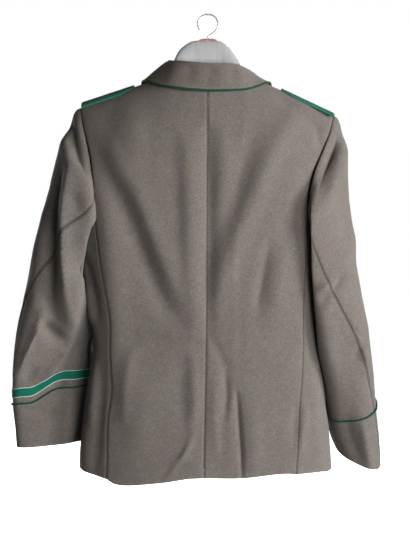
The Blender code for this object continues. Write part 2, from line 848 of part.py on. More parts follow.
def add_lapel(side):
    """The facing turned back on the front from the roll line."""
    name = "left" if side < 0 else "right"
    rows, columns = 9, 5
    points = np.zeros((rows + 1, columns + 1, 3))
    for i in range(rows + 1):
        start = LAPEL_START[side]
        share = start + (LAPEL_TOP - start) * i / rows
        z = BREAK_Z + (NECK_POINT_Z - BREAK_Z) * share
        width = LAPEL_WIDTH * (share / LAPEL_TOP) ** 0.75
        for j in range(columns + 1):
            out = j / columns
            x = front_edge_x(z, side) + side * (width * out + 1)
            gorge = -GORGE_DROP * min(out / 0.5, 1.0) + NOTCH_RISE * max(out - 0.5, 0)
            up = i / rows
            height = z + gorge * up - 0.5 * width * out * (1 - up)
            turn = turn_at(x, height, front=True)
            if abs(x) < LAP and x * side < 0:
                turn = -turn
            place = body_base(turn, height)
            lift = LAPEL_GAP + WALL + (lap_lift(x, height) if side < 0 else 0)
            points[i, j] = place + body_normal(turn, height) * lift
    normals = grid_normals(points, closed=False)
    if normals[:, :, 1].mean() < 0:
        normals = -normals
    return add_wall("lapel_" + name, points, points - normals * WALL, CLOTH)


def collar_point(around, across):
    """A point of the collar's fall. Around runs from -1 to 1, across from the fold to the edge."""
    station = abs(around)
    side = -1 if around < 0 else 1
    fold = np.array([smooth(COLLAR, "fold_" + axis, station) for axis in "xyz"])
    edge = np.array([smooth(COLLAR, "edge_" + axis, station) for axis in "xyz"])
    fold[0] *= side
    edge[0] *= side
    lean = COLLAR_LEAN[side]
    level = 1 - ease((station - 0.6) / 0.3)
    fold[2] += (lean["rise"] * abs(fold[0]) - lean["drop"] * ease((station - 0.3) / 0.22)) * level
    edge[2] += lean["edge_rise"] * abs(edge[0]) * level
    edge[0] *= 1 + (lean["reach"] - 1) * ease(station / 0.4)
    point = fold + (edge - fold) * across
    outward = unit(np.array((edge[0] - fold[0], edge[1] - fold[1], 0.0)))
    swell = COLLAR_SWELL[0] + (COLLAR_SWELL[1] - COLLAR_SWELL[0]) * ease((station - 0.3) / 0.2)
    point = point + outward * swell * math.sin(math.pi * min(across * 1.15, 1.0)) ** 0.8
    for _ in range(3):
        point = stand_off(point, FALL_GAP)
    return point


def add_collar():
    points = np.zeros((COLLAR_COLUMNS + 1, COLLAR_ROWS + 1, 3))
    for i in range(COLLAR_COLUMNS + 1):
        for j in range(COLLAR_ROWS + 1):
            around = -1 + 2 * j / COLLAR_ROWS
            points[i, j] = collar_point(around, i / COLLAR_COLUMNS)
    normals = grid_normals(points, closed=False)
    if normals[2, COLLAR_ROWS // 2, 1] > 0:
        normals = -normals
    add_wall("collar_fall", points, points - normals * WALL, CLOTH)
    edge = points[-1] - normals[-1] * WALL / 2
    down = points[-1] - points[-2]
    centres = []
    for j in range(COLLAR_ROWS + 1):
        centre = edge[j] + unit(down[j]) * (PIPING_RADIUS + LAY_GAP + 0.5)
        centres.append(stand_off(centre, PIPING_RADIUS + 0.9))
    add_tube("collar_piping", centres, PIPING_RADIUS, 6, GREEN)
    add_stand()


def add_stand():
    """The band that stands up from the neck to just inside the fold."""
    rows, columns = 4, 24
    bottom = []
    top = []
    for j in range(columns + 1):
        around = STAND_END * (-1 + 2 * j / columns)
        station = abs(around)
        side = -1 if around < 0 else 1
        reach = min(station / 0.55, 1.0)
        if station <= 0.55:
            x = side * (NECK_HALF + 0.5) * math.sin(reach * math.pi / 2)
            z = back_top(side * min(abs(x), NECK_HALF - 0.01))
            turn = turn_at(x, z, front=False)
        else:
            z = NECK_POINT_Z - (station - 0.55) / (STAND_END - 0.55) * 22
            x = front_edge_x(z, side)
            turn = turn_at(x, z, front=True)
        seat = body_base(turn, z) + body_normal(turn, z) * 0.9
        bottom.append(seat + np.array((0.0, 0.0, 1.4)))
        fold = collar_point(around, 0.0)
        inward = unit(np.array((fold[0], fold[1] + 4.0, 0.0)))
        top.append(fold - inward * (WALL + 1.2) - np.array((0.0, 0.0, 3.5)))
    bottom = np.array(bottom)
    top = np.array(top)
    points = np.array([bottom + (top - bottom) * i / rows for i in range(rows + 1)])
    normals = grid_normals(points, closed=False)
    if normals[1, columns // 2, 1] > 0:
        normals = -normals
    add_wall("collar_stand", points, points - normals * WALL, CLOTH)


def add_tube(name, centres, radius, sides, finish):
    """A round cord along a list of centres."""
    centres = np.array(centres, float)
    shape = bmesh.new()
    rings = []
    reference = None
    for i, centre in enumerate(centres):
        ahead = centres[min(i + 1, len(centres) - 1)] - centres[max(i - 1, 0)]
        ahead = unit(ahead)
        if reference is None:
            start = np.array((0.0, 1.0, 0.0))
            if abs(ahead[1]) > 0.9:
                start = np.array((1.0, 0.0, 0.0))
            reference = unit(np.cross(ahead, start))
        reference = unit(reference - ahead * np.dot(reference, ahead))
        across = np.cross(ahead, reference)
        ring = []
        for k in range(sides):
            turn = 2 * math.pi * k / sides
            place = centre + radius * (math.cos(turn) * reference + math.sin(turn) * across)
            ring.append(shape.verts.new(place))
        rings.append(ring)
    for first, second in zip(rings, rings[1:]):
        for k in range(sides):
            n = (k + 1) % sides
            shape.faces.new((first[k], first[n], second[n], second[k]))
    shape.faces.new(rings[0])
    shape.faces.new(rings[-1])
    return add_object(name, shape, finish)


def add_board(side):
    """A stiff board along the shoulder, bent over its ridge, with a pointed inner end."""
    name = "left" if side < 0 else "right"
    bend = BOARD_SHAPE[side]["bend"]
    rows, columns = 8, 6
    top = np.zeros((rows + 1, columns + 1, 3))
    for i in range(rows + 1):
        share = i / rows
        half = BOARD_HALF * min(1.0, 0.55 + 2.6 * share)
        for j in range(columns + 1):
            y = half * (2 * j / columns - 1)
            x = BOARD_IN + (BOARD_OUT - BOARD_IN) * share
            seat = shoulder_line(side * x) + 0.6 + BOARD_SHAPE[side]["lift"] * share
            drop = bend - math.sqrt(bend**2 - y**2)
            top[i, j] = (side * x, y, seat + BOARD_THICK - drop)
    bottom = top - np.array((0.0, 0.0, BOARD_THICK))
    return add_wall("shoulder_board_" + name, top, bottom, BOARD)


def add_buttons():
    """Domed buttons on the lapped edge of the left front."""
    levels = table(
        "rise reach", (0.0, 0.82), (1.2, 1.0), (2.4, 0.96), (3.7, 0.78), (4.7, 0.45)
    )
    sides = 14
    for number in range(BUTTON_COUNT):
        row = BREAK_ROW + BUTTON_ROWS * number
        z = JOIN_Z + (FRONT_HEM_Z - JOIN_Z) * row / LOWER_ROWS
        out = body_normal(math.pi, z)
        seat = body_base(math.pi, z) + out * (LAP_LIFT + 0.5)
        across = unit(np.cross(out, np.array((0.0, 0.0, 1.0))))
        up = np.cross(across, out)
        shape = bmesh.new()
        rings = []
        for rise, reach in zip(levels["rise"], levels["reach"]):
            ring = []
            for k in range(sides):
                angle = 2 * math.pi * k / sides
                spoke = math.cos(angle) * across + math.sin(angle) * up
                ring.append(shape.verts.new(seat + spoke * BUTTON_RADIUS * reach + out * rise))
            rings.append(ring)
        for first, second in zip(rings, rings[1:]):
            for k in range(sides):
                n = (k + 1) % sides
                shape.faces.new((first[k], first[n], second[n], second[k]))
        crown = shape.verts.new(seat + out * BUTTON_RISE)
        for k in range(sides):
            shape.faces.new((rings[-1][k], rings[-1][(k + 1) % sides], crown))
        shape.faces.new(rings[0])
        add_object(f"button_{number + 1}", shape, METAL)


def hanger_sections():
    """Sections of the hanger from one end to the other: x, top, height and half depth."""
    half = {side: [tuple(row) for row in zip(*HANGER[side].values())] for side in (-1, 1)}
    arms = {}
    for side in (-1, 1):
        rows = []
        for i in range(ARM_STEPS + 1):
            share = i / ARM_STEPS
            x = 80 + (HANGER_END - 80) * share
            slope = (TIP[side][1] - NECK_POINT_Z) / (TIP[side][0] - NECK_HALF)
            thick = (WALL + HANGER_SEAT) * math.hypot(1, slope)
            top = shoulder_line(side * x) - thick
            height = ARM_HEIGHT[0] + (ARM_HEIGHT[1] - ARM_HEIGHT[0]) * share
            depth = ARM_HALF_DEPTH[0] + (ARM_HALF_DEPTH[1] - ARM_HALF_DEPTH[0]) * share
            rows.append((x, top, height, depth))
        arms[side] = rows
    left = [(-x, top, height, depth) for x, top, height, depth in half[-1][1:] + arms[-1]]
    return left[::-1] + half[1] + arms[1]


def add_hanger():
    sides = 12
    shape = bmesh.new()
    rings = []
    for x, top, height, depth in hanger_sections():
        ring = []
        for k in range(sides):
            turn = 2 * math.pi * k / sides
            y = depth * math.sin(turn)
            z = top - height / 2 + height / 2 * math.cos(turn)
            ring.append(shape.verts.new((x, y, z)))
        rings.append(ring)
    for first, second in zip(rings, rings[1:]):
        for k in range(sides):
            n = (k + 1) % sides
            shape.faces.new((first[k], first[n], second[n], second[k]))
    shape.faces.new(rings[0])
    shape.faces.new(rings[-1])
    add_object("hanger", shape, PLASTIC)


def hump_top(x):
    return smooth(HANGER[-1 if x < 0 else 1], "top", abs(x))


def add_cap():
    """A thin red cap that follows the top of the hump."""
    steps = 10
    outer = []
    inner = []
    for i in range(steps + 1):
        x = CAP_HALF * (2 * i / steps - 1)
        rise = CAP_THICK * (1 - (x / CAP_HALF) ** 2) ** 0.5 if abs(x) < CAP_HALF else 0
        low = hump_top(x) + 0.4
        high = low + max(rise, 0.5)
        outer.append([(x, -7.0, low + (high - low) * 0.6), (x, -4.0, high), (x, 4.0, high)])
        outer[-1].append((x, 7.0, low + (high - low) * 0.6))
        inner.append([(x, y, low) for y in (-7.0, -4.0, 4.0, 7.0)])
    add_wall("hanger_cap", np.array(outer), np.array(inner), RED)


def hook_centres():
    """The wire's middle: foot on the cap, a bend to the side, then over the top."""
    radius = HOOK_INNER + WIRE_RADIUS
    centre_z = -HOOK_INNER
    foot = HOOK_FOOT_Z + 0.5
    start = math.radians(-52)
    begin = np.array((radius * math.cos(start), 0.0, centre_z + radius * math.sin(start)))
    points = []
    handle = np.array((0.0, 0.0, foot + 4.5))
    aim = begin - 5.0 * np.array((-math.sin(start), 0.0, math.cos(start)))
    for i in range(7):
        t = i / 7
        points.append(
            (1 - t) ** 3 * np.array((0.0, 0.0, foot))
            + 3 * (1 - t) ** 2 * t * handle
            + 3 * (1 - t) * t**2 * aim
            + t**3 * begin
        )
    turns = 22
    for i in range(turns + 1):
        angle = start + (math.radians(212) - start) * i / turns
        points.append((radius * math.cos(angle), 0.0, centre_z + radius * math.sin(angle)))
    return points


def main():
    backs = {side: back_grid(side) for side in (-1, 1)}
    fronts = {side: front_grid(side) for side in (-1, 1)}
    sides = {side: side_grid(side) for side in (-1, 1)}
    for side, name in ((-1, "left"), (1, "right")):
        points, normals = backs[side]
        panel("back_" + name, points, normals, ("first_row", "first_column", "last_column"))
        points, normals = fronts[side]
        panel("front_" + name, points, normals, ("first_row", "last_column"))
        points, normals = sides[side]
        panel("side_" + name, points, normals, ("first_row", "first_column", "last_column"))
        ring, ring_normals = armhole_ring(backs[side], sides[side], fronts[side])
        add_sleeve(side, ring, ring_normals)
        add_lapel(side)
        add_board(side)
    add_collar()
    add_buttons()
    add_hanger()
    add_cap()
    add_tube("hanger_hook", hook_centres(), WIRE_RADIUS, 7, STEEL)


main()
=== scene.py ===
# a wool service tunic on a clothes hanger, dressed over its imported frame
# forms are worked out in millimetres and made into meshes in metres

import math

import bpy
import numpy as np
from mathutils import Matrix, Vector, noise


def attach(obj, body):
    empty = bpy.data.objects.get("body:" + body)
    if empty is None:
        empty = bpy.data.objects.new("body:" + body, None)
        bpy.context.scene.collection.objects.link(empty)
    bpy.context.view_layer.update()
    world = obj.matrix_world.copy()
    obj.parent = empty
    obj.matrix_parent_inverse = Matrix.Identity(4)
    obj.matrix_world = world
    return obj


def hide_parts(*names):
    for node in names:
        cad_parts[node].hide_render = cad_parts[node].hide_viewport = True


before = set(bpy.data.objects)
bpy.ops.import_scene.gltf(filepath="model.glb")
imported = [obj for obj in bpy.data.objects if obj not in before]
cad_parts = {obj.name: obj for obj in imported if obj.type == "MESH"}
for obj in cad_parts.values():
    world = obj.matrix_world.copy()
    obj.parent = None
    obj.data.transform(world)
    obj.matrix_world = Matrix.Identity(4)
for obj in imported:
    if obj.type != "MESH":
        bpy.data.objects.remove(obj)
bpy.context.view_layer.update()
bpy.ops.object.select_all(action="DESELECT")
print("frame loaded")

mm = 0.001
wall = 2.0  # thickness of the frame's cloth


def table(columns, *rows):  # named columns of numbers, one row for each station, the first column rising
    values = np.array(rows, float)
    return {name: values[:, i] for i, name in enumerate(columns.split())}


roundness = 2.4  # exponent of the body's level sections, 2 is an ellipse
body = table(
    "z left right back front",
    (-860, 238, 230, 84, 82),
    (-790, 235, 226, 82, 80),
    (-710, 226, 217, 77, 76),
    (-640, 216, 209, 71, 73),
    (-595, 212, 206, 69, 73),
    (-540, 220, 207, 73, 78),
    (-460, 237, 211, 80, 86),
    (-400, 239, 216, 84, 88),
    (-300, 243, 232, 87, 86),
    (-180, 250, 246, 86, 80),
    (-90, 250, 246, 82, 74),
)
centre = table("z x", (-860, -8), (-600, -3), (-500, -2), (-90, -1))
sideBack = table(
    "z left right",
    (-860, 184, 159),
    (-741, 182, 166),
    (-700, 175, 169),
    (-615, 176, 175),
    (-559, 175, 175),
    (-488, 187, 177),
    (-429, 196, 180),
    (-372, 203, 184),
)
sideFrontShare = 0.8  # of the half width
sideFrontRun = 90.0  # height over which the side front seam bends to the armhole
armhole = table(
    "down back_left back_right front_left front_right",
    (0.0, 236, 233, 236, 233),
    (0.2, 228, 222, 222, 216),
    (0.4, 218, 206, 205, 194),
    (0.68, 209, 187, 190, 175),
    (0.89, 204, 184, 188, 171),
    (1.0, 203, 184, 191, 173),
)
joinZ = -372.0  # the side seams meet the armholes
armholeBaseZ = -400.0
neckHalf = 75.0
neckPointZ = -109.0  # where the shoulder seams meet the neck
backNeckZ = -128.0
neckRise = 0.2  # slope of the shoulder's line inside the neck
tip = {-1: (236.0, -170.0), 1: (233.0, -185.0)}  # shoulder tips, x and z
shoulderDrop = 140.0  # height over which the shoulder rounds into the back
hem = table(
    "x z",
    (-240, -832),
    (-215, -842),
    (-190, -847),
    (-171, -857),
    (-148, -860),
    (-81, -854),
    (-25, -846),
    (58, -846),
    (139, -839),
    (184, -843),
    (209, -838),
    (240, -834),
)
frontHemZ = -848.0
armholeRows = 9
lowerRows = 12
backColumns = 10
sideColumns = 4
frontColumns = 7
seamRow = 8  # the sleeve's two seams start at this row of the armhole
leftSleeve = table(
    "station outer_x outer_y outer_z inner_x inner_y inner_z hind_x hind_y hind_z hind_seam",
    (0, -236, 0, -170, -239, 0, -400, 28, -60, 0, 118),
    (1, -268, -4, -230, -242, -10, -418, 43, -74, 0, 104),
    (2, -288, -5, -296, -244, -8, -436, 50, -80, -8, 84),
    (3, -308, -5, -378, -246, 4, -468, 48, -80, -12, 56),
    (4, -327, -5, -467, -224, 34, -524, 27, -76, -15, 36),
    (5, -345, -4, -545, -208, 50, -572, 2, -62, -14, 16),
    (6, -358, -2, -620, -214, 52, -610, -8, -46, -8, 5),
    (7, -363, 5, -690, -210, 60, -672, -12, -36, 0, 0),
    (8, -355, 10, -796, -212, 62, -783, -10, -31, -6, -5),
)
rightSleeve = table(
    "station outer_x outer_y outer_z inner_x inner_y inner_z hind_x hind_y hind_z hind_seam",
    (0, 233, 0, -185, 217, 0, -400, -30, -57, 0, 118),
    (1, 256, -4, -236, 214, -9, -420, -41, -73, 0, 110),
    (2, 259, -5, -312, 212, -8, -442, -47, -76, -8, 103),
    (3, 268, -3, -390, 214, 0, -474, -50, -74, -12, 84),
    (4, 278, 0, -480, 214, 20, -532, -46, -70, -18, 62),
    (5, 294, 0, -560, 212, 36, -596, -34, -63, -24, 46),
    (6, 303, 0, -640, 214, 52, -652, -21, -57, -28, 34),
    (7, 311, 2, -722, 218, 66, -720, -7, -52, -30, 21),
    (8, 320, 5, -829, 233, 72, -776, -8, -50, -21, 8),
)
upperSpan = 210.0  # degrees of the sleeve that its upper half covers
sleeveSquare = 0.92  # exponent of the sleeve's rounds, 1 is an ellipse
sleeveClear = (0.4, 5.6)  # least margin to the body and its growth along the sleeve
ringOff = {"along": 0.25, "out": 0.4}  # mm from the armhole's edge to the sleeve's first ring
frontLean = 0.6  # of the hind side's shift across, for the sleeve's front side
head = {"end": 0.3, "halfDepth": 24.0, "low": -300.0}  # where the sleeve's head may round in over the tip
sleeveStops = (0, 0.12, 0.35, 0.7, 1.1, 1.6, 2.1, 2.7, 3.3, 3.9, 4.5, 5, 5.5, 6, 6.45)
cuff = {
    -1: {"band": (6.89, 7.085), "piping": (7.19, 7.235), "end": 8.0},
    1: {"band": None, "piping": (6.92, 6.975), "end": 8.0},
}
bandStep = {"x": -308.0, "half": 12.0, "height": 20.0}
breakRow = 2  # rows below the armhole's join where the lapels start to turn back
lap = 20.0  # each front runs this far past the middle
lapRise = 3.2  # the left front lies over the right one
lapFade = {"x": -60.0, "width": 35.0, "z": -260.0, "height": 120.0}  # where the left front lifts
lapelTop = 0.825  # share of the roll line where the gorge meets it
lapelWidth = 80.0
lapelGap = 0.9
gorgeDrop = 50.0  # from the roll line down to the notch, along the collar's end
notchRise = 4.0
lapelStart = {-1: 0.04, 1: 0.25}  # share of the roll line, the right one under the lap
collar = table(
    "station fold_x fold_y fold_z edge_x edge_y edge_z",
    (0.0, 0, -52, -94, 0, -71, -144),
    (0.15, 25, -49, -94, 38, -69, -142),
    (0.3, 49, -38, -93, 75, -58, -137),
    (0.45, 69, -18, -92, 103, -30, -128),
    (0.55, 75, 0, -91, 116, -2, -122),
    (0.7, 75, 27, -103, 118, 34, -140),
    (0.85, 68, 50, -130, 110, 62, -172),
    (1.0, 60, 68, -165, 98, 80, -206),
)
collarLean = {  # the fold stands higher on the wearer's left and drops earlier on the right
    -1: {"rise": 0.1, "drop": 0.0, "edgeRise": 0.035, "reach": 1.02},
    1: {"rise": 0.0, "drop": 8.0, "edgeRise": -0.035, "reach": 0.955},
}
collarSwell = (5.0, 1.5)  # at the back and at the sides
collarRows = 28
collarColumns = 4
standEnd = 0.72
fallGap = 3.8  # from the body to the outside of the fall
pipingRadius = 2.1
boardIn = 136.0
boardOut = 233.0
boardHalf = 22.0
boardThick = 3.0
boardShape = {-1: {"bend": 42.0, "lift": 4.5}, 1: {"bend": 60.0, "lift": 1.0}}
buttonCount = 4
buttonRows = 2  # rows of the front between two buttons
hanger = {
    -1: table(
        "x top height half_depth",
        (0, -46.0, 46, 7),
        (28, -47.5, 46, 7),
        (41, -54, 46, 7.5),
        (54, -66, 42, 8),
        (62.5, -83, 36, 8),
        (67, -98, 32, 8),
        (71, -114, 28, 8.5),
    ),
    1: table(
        "x top height half_depth",
        (0, -46.0, 46, 7),
        (22, -47.5, 46, 7),
        (33, -54, 46, 7.5),
        (44.5, -66, 42, 8),
        (57, -84, 36, 8),
        (65, -99, 32, 8),
        (71, -114, 28, 8.5),
    ),
}
hangerSeat = 0.8  # under the inside of the shoulders
armStart = 80.0
hangerEnd = 214.0
armSteps = 7
armHeight = (28.0, 22.0)
armHalfDepth = (9.0, 13.5)
capHalf = 16.0
capThick = 3.2
wireRadius = 1.7
hookInner = 17.0
hookFootZ = -42.0
hookTurn = (-52, 212)  # degrees round the hook's middle, from the bend to the free end
hookSteps = {"foot": 7, "turn": 22}
breakZ = joinZ + (frontHemZ - joinZ) * breakRow / lowerRows
upperColumns = 2 * seamRow  # of the sleeve's ring, from the hind seam to the front seam


def onCurve(first, second, start, end, share):  # between two points, with the curve's slopes at both
    square = share * share
    cube = square * share
    return (
        (2 * cube - 3 * square + 1) * first
        + (cube - 2 * square + share) * start
        + (3 * square - 2 * cube) * second
        + (cube - square) * end
    )


def smooth(tab, column, at):  # a column's value at a place, on a curve through the rows
    keys = next(iter(tab.values()))
    values = tab[column]
    at = min(max(at, keys[0]), keys[-1])
    i = min(int(np.searchsorted(keys, at, side="right")) - 1, len(keys) - 2)
    gap = keys[i + 1] - keys[i]
    share = (at - keys[i]) / gap
    before = max(i - 1, 0)
    after = min(i + 2, len(keys) - 1)
    start = (values[i + 1] - values[before]) / (keys[i + 1] - keys[before]) * gap
    end = (values[after] - values[i]) / (keys[after] - keys[i]) * gap
    return onCurve(values[i], values[i + 1], start, end, share)


def tablePoint(tab, part, at):
    return np.array([smooth(tab, part + axis, at) for axis in "xyz"])


def signedPower(value, power):
    return math.copysign(abs(value) ** power, value)


def ease(value):  # 0 below 0, 1 above 1 and a soft step between
    value = min(max(value, 0.0), 1.0)
    return value * value * (3 - 2 * value)


def unit(vector):
    return vector / max(np.linalg.norm(vector), 1e-9)


def shoulderLine(x):  # height of the shoulder's ridge over a place across
    if abs(x) <= neckHalf:
        return neckPointZ + neckRise * (neckHalf - abs(x))
    tipX, tipZ = tip[1 if x > 0 else -1]
    slope = (tipZ - neckPointZ) / (tipX - neckHalf)
    return neckPointZ + slope * (abs(x) - neckHalf)


def shoulderCover(x, z):  # share of the body's depth this far below the ridge, 0 on the ridge
    down = min(max((shoulderLine(x) - z) / shoulderDrop, 0.0), 1.0)
    return math.sqrt(1 - (1 - down) ** 2)


def middleAndWidth(z, side):
    middle = smooth(centre, "x", z)
    if side > 0:
        return middle, smooth(body, "right", z) - middle
    return middle, smooth(body, "left", z) + middle


def bodyBase(turn, z):  # a point of the body. the turn is 0 at the centre back, + to the right
    side = math.sin(turn)
    facing = math.cos(turn)
    middle, width = middleAndWidth(z, side)
    x = middle + width * signedPower(side, 2 / roundness)
    depth = smooth(body, "back" if facing > 0 else "front", z)
    y = -depth * signedPower(facing, 2 / roundness) * shoulderCover(x, z)
    return np.array((x, y, z))


def bodyNormal(turn, z):  # the way out of the body, level across the shoulder's ridge
    point = bodyBase(turn, z)
    ridge = shoulderLine(point[0])
    if z > ridge - 0.05:
        ahead = shoulderLine(point[0] + 1) - shoulderLine(point[0] - 1)
        return unit(np.array((-ahead / 2, 0.0, 1.0)))
    step = 0.004
    rise = min(1.0, (ridge - z) / 3)
    across = bodyBase(turn + step, z) - bodyBase(turn - step, z)
    up = bodyBase(turn, z + rise) - bodyBase(turn, z - rise)
    return unit(np.cross(across, up))


def turnAt(x, z, front):  # the turn of a place across, on the back or on the front
    middle = smooth(centre, "x", z)
    side = 1 if x > middle else -1
    width = middleAndWidth(z, side)[1]
    share = min(abs(x - middle) / width, 1.0)
    angle = math.asin(share ** (roundness / 2))
    return side * (math.pi - angle) if front else side * angle


def frontEdgeX(z, side):  # where a front ends across: its lapped edge, and the roll line above the break
    if z <= breakZ:
        return -side * lap
    share = (z - breakZ) / (neckPointZ - breakZ)
    return side * (-lap + (neckHalf + lap) * min(share, 1.0))


def frontEdgeTurn(z, side):
    x = frontEdgeX(z, side)
    turn = turnAt(x, z, front=True)
    if turn * side < 0:
        turn += side * 2 * math.pi
    return turn


def seamTurn(z, side, front):  # the turn of a side seam, and of the armhole's edge above it
    name = "left" if side < 0 else "right"
    if z > joinZ:
        edge = "front_" if front else "back_"
        down = (tip[side][1] - z) / (tip[side][1] - joinZ)
        x = smooth(armhole, edge + name, down)
        return turnAt(side * x, z, front)
    if not front:
        return turnAt(side * smooth(sideBack, name, z), z, front)
    middle, width = middleAndWidth(z, side)
    joined = smooth(armhole, "front_" + name, 1.0)
    bend = ease((z - joinZ + sideFrontRun) / sideFrontRun)
    top = (side * joined - middle) * side / middleAndWidth(joinZ, side)[1]
    share = sideFrontShare + bend * (top - sideFrontShare)
    return turnAt(middle + side * width * share, z, front)


def backTop(x):  # height of the back's upper edge: neck curve, then the shoulder seam
    if abs(x) < neckHalf:
        return neckPointZ + (backNeckZ - neckPointZ) * (1 - (x / neckHalf) ** 2)
    return shoulderLine(x)


def topOfColumn(turnOf, line):  # height where a column of the panel meets its upper edge
    low, high = joinZ, -60.0
    for _ in range(50):
        z = (low + high) / 2
        x = bodyBase(turnOf(z), z)[0]
        if line(x) > z:
            low = z
        else:
            high = z
    return (low + high) / 2


def rowHeights(top, bottom):  # rows of a column, close together where the shoulder is round
    upper = [top + (joinZ - top) * (i / armholeRows) ** 2 for i in range(armholeRows)]
    return upper + [joinZ + (bottom - joinZ) * i / lowerRows for i in range(lowerRows + 1)]


def hemHeight(turn, x):  # the hem is level under the fronts and follows the photo round the back
    share = ease((math.cos(turn) + 0.4) / 0.5)
    return frontHemZ + (smooth(hem, "z", x) - frontHemZ) * share


def hemOfColumn(turnOf):
    z = frontHemZ
    for _ in range(6):
        turn = turnOf(z)
        z = hemHeight(turn, bodyBase(turn, z)[0])
    return z


def gridNormals(points, closed):  # unit normals of a grid, square to its steps
    rows, columns = points.shape[:2]
    normals = np.zeros_like(points)
    for i in range(rows):
        for j in range(columns):
            here = points[i, j]
            below = unit(points[i + 1, j] - here) if i < rows - 1 else 0
            above = unit(here - points[i - 1, j]) if i > 0 else 0
            after = before = 0
            if closed or j < columns - 1:
                after = unit(points[i, (j + 1) % columns] - here)
            if closed or j > 0:
                before = unit(here - points[i, j - 1])
            normals[i, j] = unit(np.cross(after + before, below + above))
    return normals


def panelColumn(turnOf, top):  # turns and heights of a column from its top to the hem
    return [(turnOf(z), z) for z in rowHeights(top, hemOfColumn(turnOf))]


def backGrid(side):  # points and normals of a back panel, from the centre seam to the side, top row first
    tipZ = tip[side][1]

    def edgeTurn(z):
        return seamTurn(min(z, tipZ), side, front=False)

    tipTurn = edgeTurn(tipZ)
    neckShare = turnAt(side * neckHalf, neckPointZ, front=False) / tipTurn
    inside = max(2, round(backColumns * neckShare))
    outside = backColumns - inside
    shares = [neckShare * j / inside for j in range(inside)]
    shares += [neckShare + (1 - neckShare) * j / outside for j in range(outside + 1)]
    columns = []
    for share in shares:

        def turnOf(z, share=share):
            return edgeTurn(z) * share

        top = tipZ if share == 1 else topOfColumn(turnOf, backTop)
        columns.append(panelColumn(turnOf, top))
    return placed(columns)


def frontGrid(side):  # points and normals of a front, from its edge to the side, top row first
    tipZ = tip[side][1]
    columns = []
    for j in range(frontColumns + 1):
        share = j / frontColumns

        def turnOf(z, share=share):
            inner = frontEdgeTurn(z, side)
            outer = seamTurn(min(z, tipZ), side, front=True)
            return inner + (outer - inner) * share

        top = tipZ if j == frontColumns else neckPointZ
        if 0 < j < frontColumns:
            top = topOfColumn(turnOf, shoulderLine)
        columns.append(panelColumn(turnOf, top))
    points, normals = placed(columns)
    if side < 0:
        for i in range(points.shape[0]):
            for j in range(points.shape[1]):
                points[i, j] += normals[i, j] * lapLift(points[i, j, 0], points[i, j, 2])
    return points, normals


def lapLift(x, z):  # how far the left front stands off where it lies over the right one
    aside = ease((x - lapFade["x"]) / lapFade["width"])
    return lapRise * aside * ease((lapFade["z"] - z) / lapFade["height"])


def sideGrid(side):  # points and normals of a side panel, from the back seam to the front seam
    columns = []
    for j in range(sideColumns + 1):
        share = j / sideColumns

        def turnOf(z, share=share):
            behind = seamTurn(z, side, front=False)
            ahead = seamTurn(z, side, front=True)
            return behind + (ahead - behind) * share

        top = armholeBaseZ + (joinZ - armholeBaseZ) * (2 * share - 1) ** 2
        bottom = hemOfColumn(turnOf)
        heights = [top + (bottom - top) * i / lowerRows for i in range(lowerRows + 1)]
        columns.append([(turnOf(z), z) for z in heights])
    return placed(columns)


def placed(columns):  # turns and heights made points and normals, rows first
    points = np.array([[bodyBase(t, z) for t, z in column] for column in columns])
    normals = np.array([[bodyNormal(t, z) for t, z in column] for column in columns])
    return points.transpose(1, 0, 2), normals.transpose(1, 0, 2)


# points and normals round an armhole: hind seam, over the tip, front seam, under the arm
def armholeRing(back, sidePanel, front):
    loop = []
    for row in range(seamRow, -1, -1):
        loop.append((back[0][row, -1], back[1][row, -1]))
    for row in range(1, armholeRows + 1):
        loop.append((front[0][row, -1], front[1][row, -1]))
    for j in range(sideColumns - 1, -1, -1):
        loop.append((sidePanel[0][0, j], sidePanel[1][0, j]))
    for row in range(armholeRows - 1, seamRow, -1):
        loop.append((back[0][row, -1], back[1][row, -1]))
    return np.array([p for p, _ in loop]), np.array([n for _, n in loop])


# the angle of a column round the sleeve: 0 outer, 90 back, 180 inner, -90 front
def sleeveAngle(station, side, column, ringSize, ringAngles):
    sleeve = leftSleeve if side < 0 else rightSleeve
    settled = ease(station / 1.5)
    hind = smooth(sleeve, "hind_seam", station)
    hind = ringAngles[0] + (hind - ringAngles[0]) * settled
    front = hind - upperSpan
    front = ringAngles[upperColumns] + (front - ringAngles[upperColumns]) * settled
    if column <= upperColumns:
        first, last, start, end, count = 0, upperColumns, hind, front, upperColumns
        finish = ringAngles[last]
    else:
        first, last, start, end = upperColumns, ringSize, front, hind - 360
        count = ringSize - upperColumns
        finish = ringAngles[0] - 360
    own = (ringAngles[column] - ringAngles[first]) / (finish - ringAngles[first])
    even = (column - first) / count
    share = own + (even - own) * settled
    return start + (end - start) * share


def sleeveOval(station, side, angle):
    sleeve = leftSleeve if side < 0 else rightSleeve
    outer, inner, hind = (tablePoint(sleeve, part, station) for part in ("outer_", "inner_", "hind_"))
    turn = math.radians(angle)
    lean = hind[0] * math.sin(turn) ** 2 * (1 if math.sin(turn) > 0 else frontLean)
    return (
        (outer + inner) / 2
        + (outer - inner) / 2 * signedPower(math.cos(turn), sleeveSquare)
        + hind * (0, 1, 1) * signedPower(math.sin(turn), sleeveSquare)
        + np.array((lean, 0.0, 0.0))
    )


def clearOfBody(point, margin):  # the point, moved straight out of the body where it would be in it
    x, y, z = point
    if z > armholeBaseZ + 30 and abs(x) > 150:
        margin = min(margin, 1.0)
    side = 1 if x > 0 else -1
    middle, width = middleAndWidth(z, side)
    depth = smooth(body, "back" if y < 0 else "front", z) * shoulderCover(x, z)
    if depth < 1:
        return point
    across = abs(x - middle) / (width + margin)
    through = abs(y) / (depth + margin)
    inside = across**roundness + through**roundness
    if inside >= 1:
        return point
    grow = inside ** (-1 / roundness)
    return np.array((middle + (x - middle) * grow, y * grow, z))


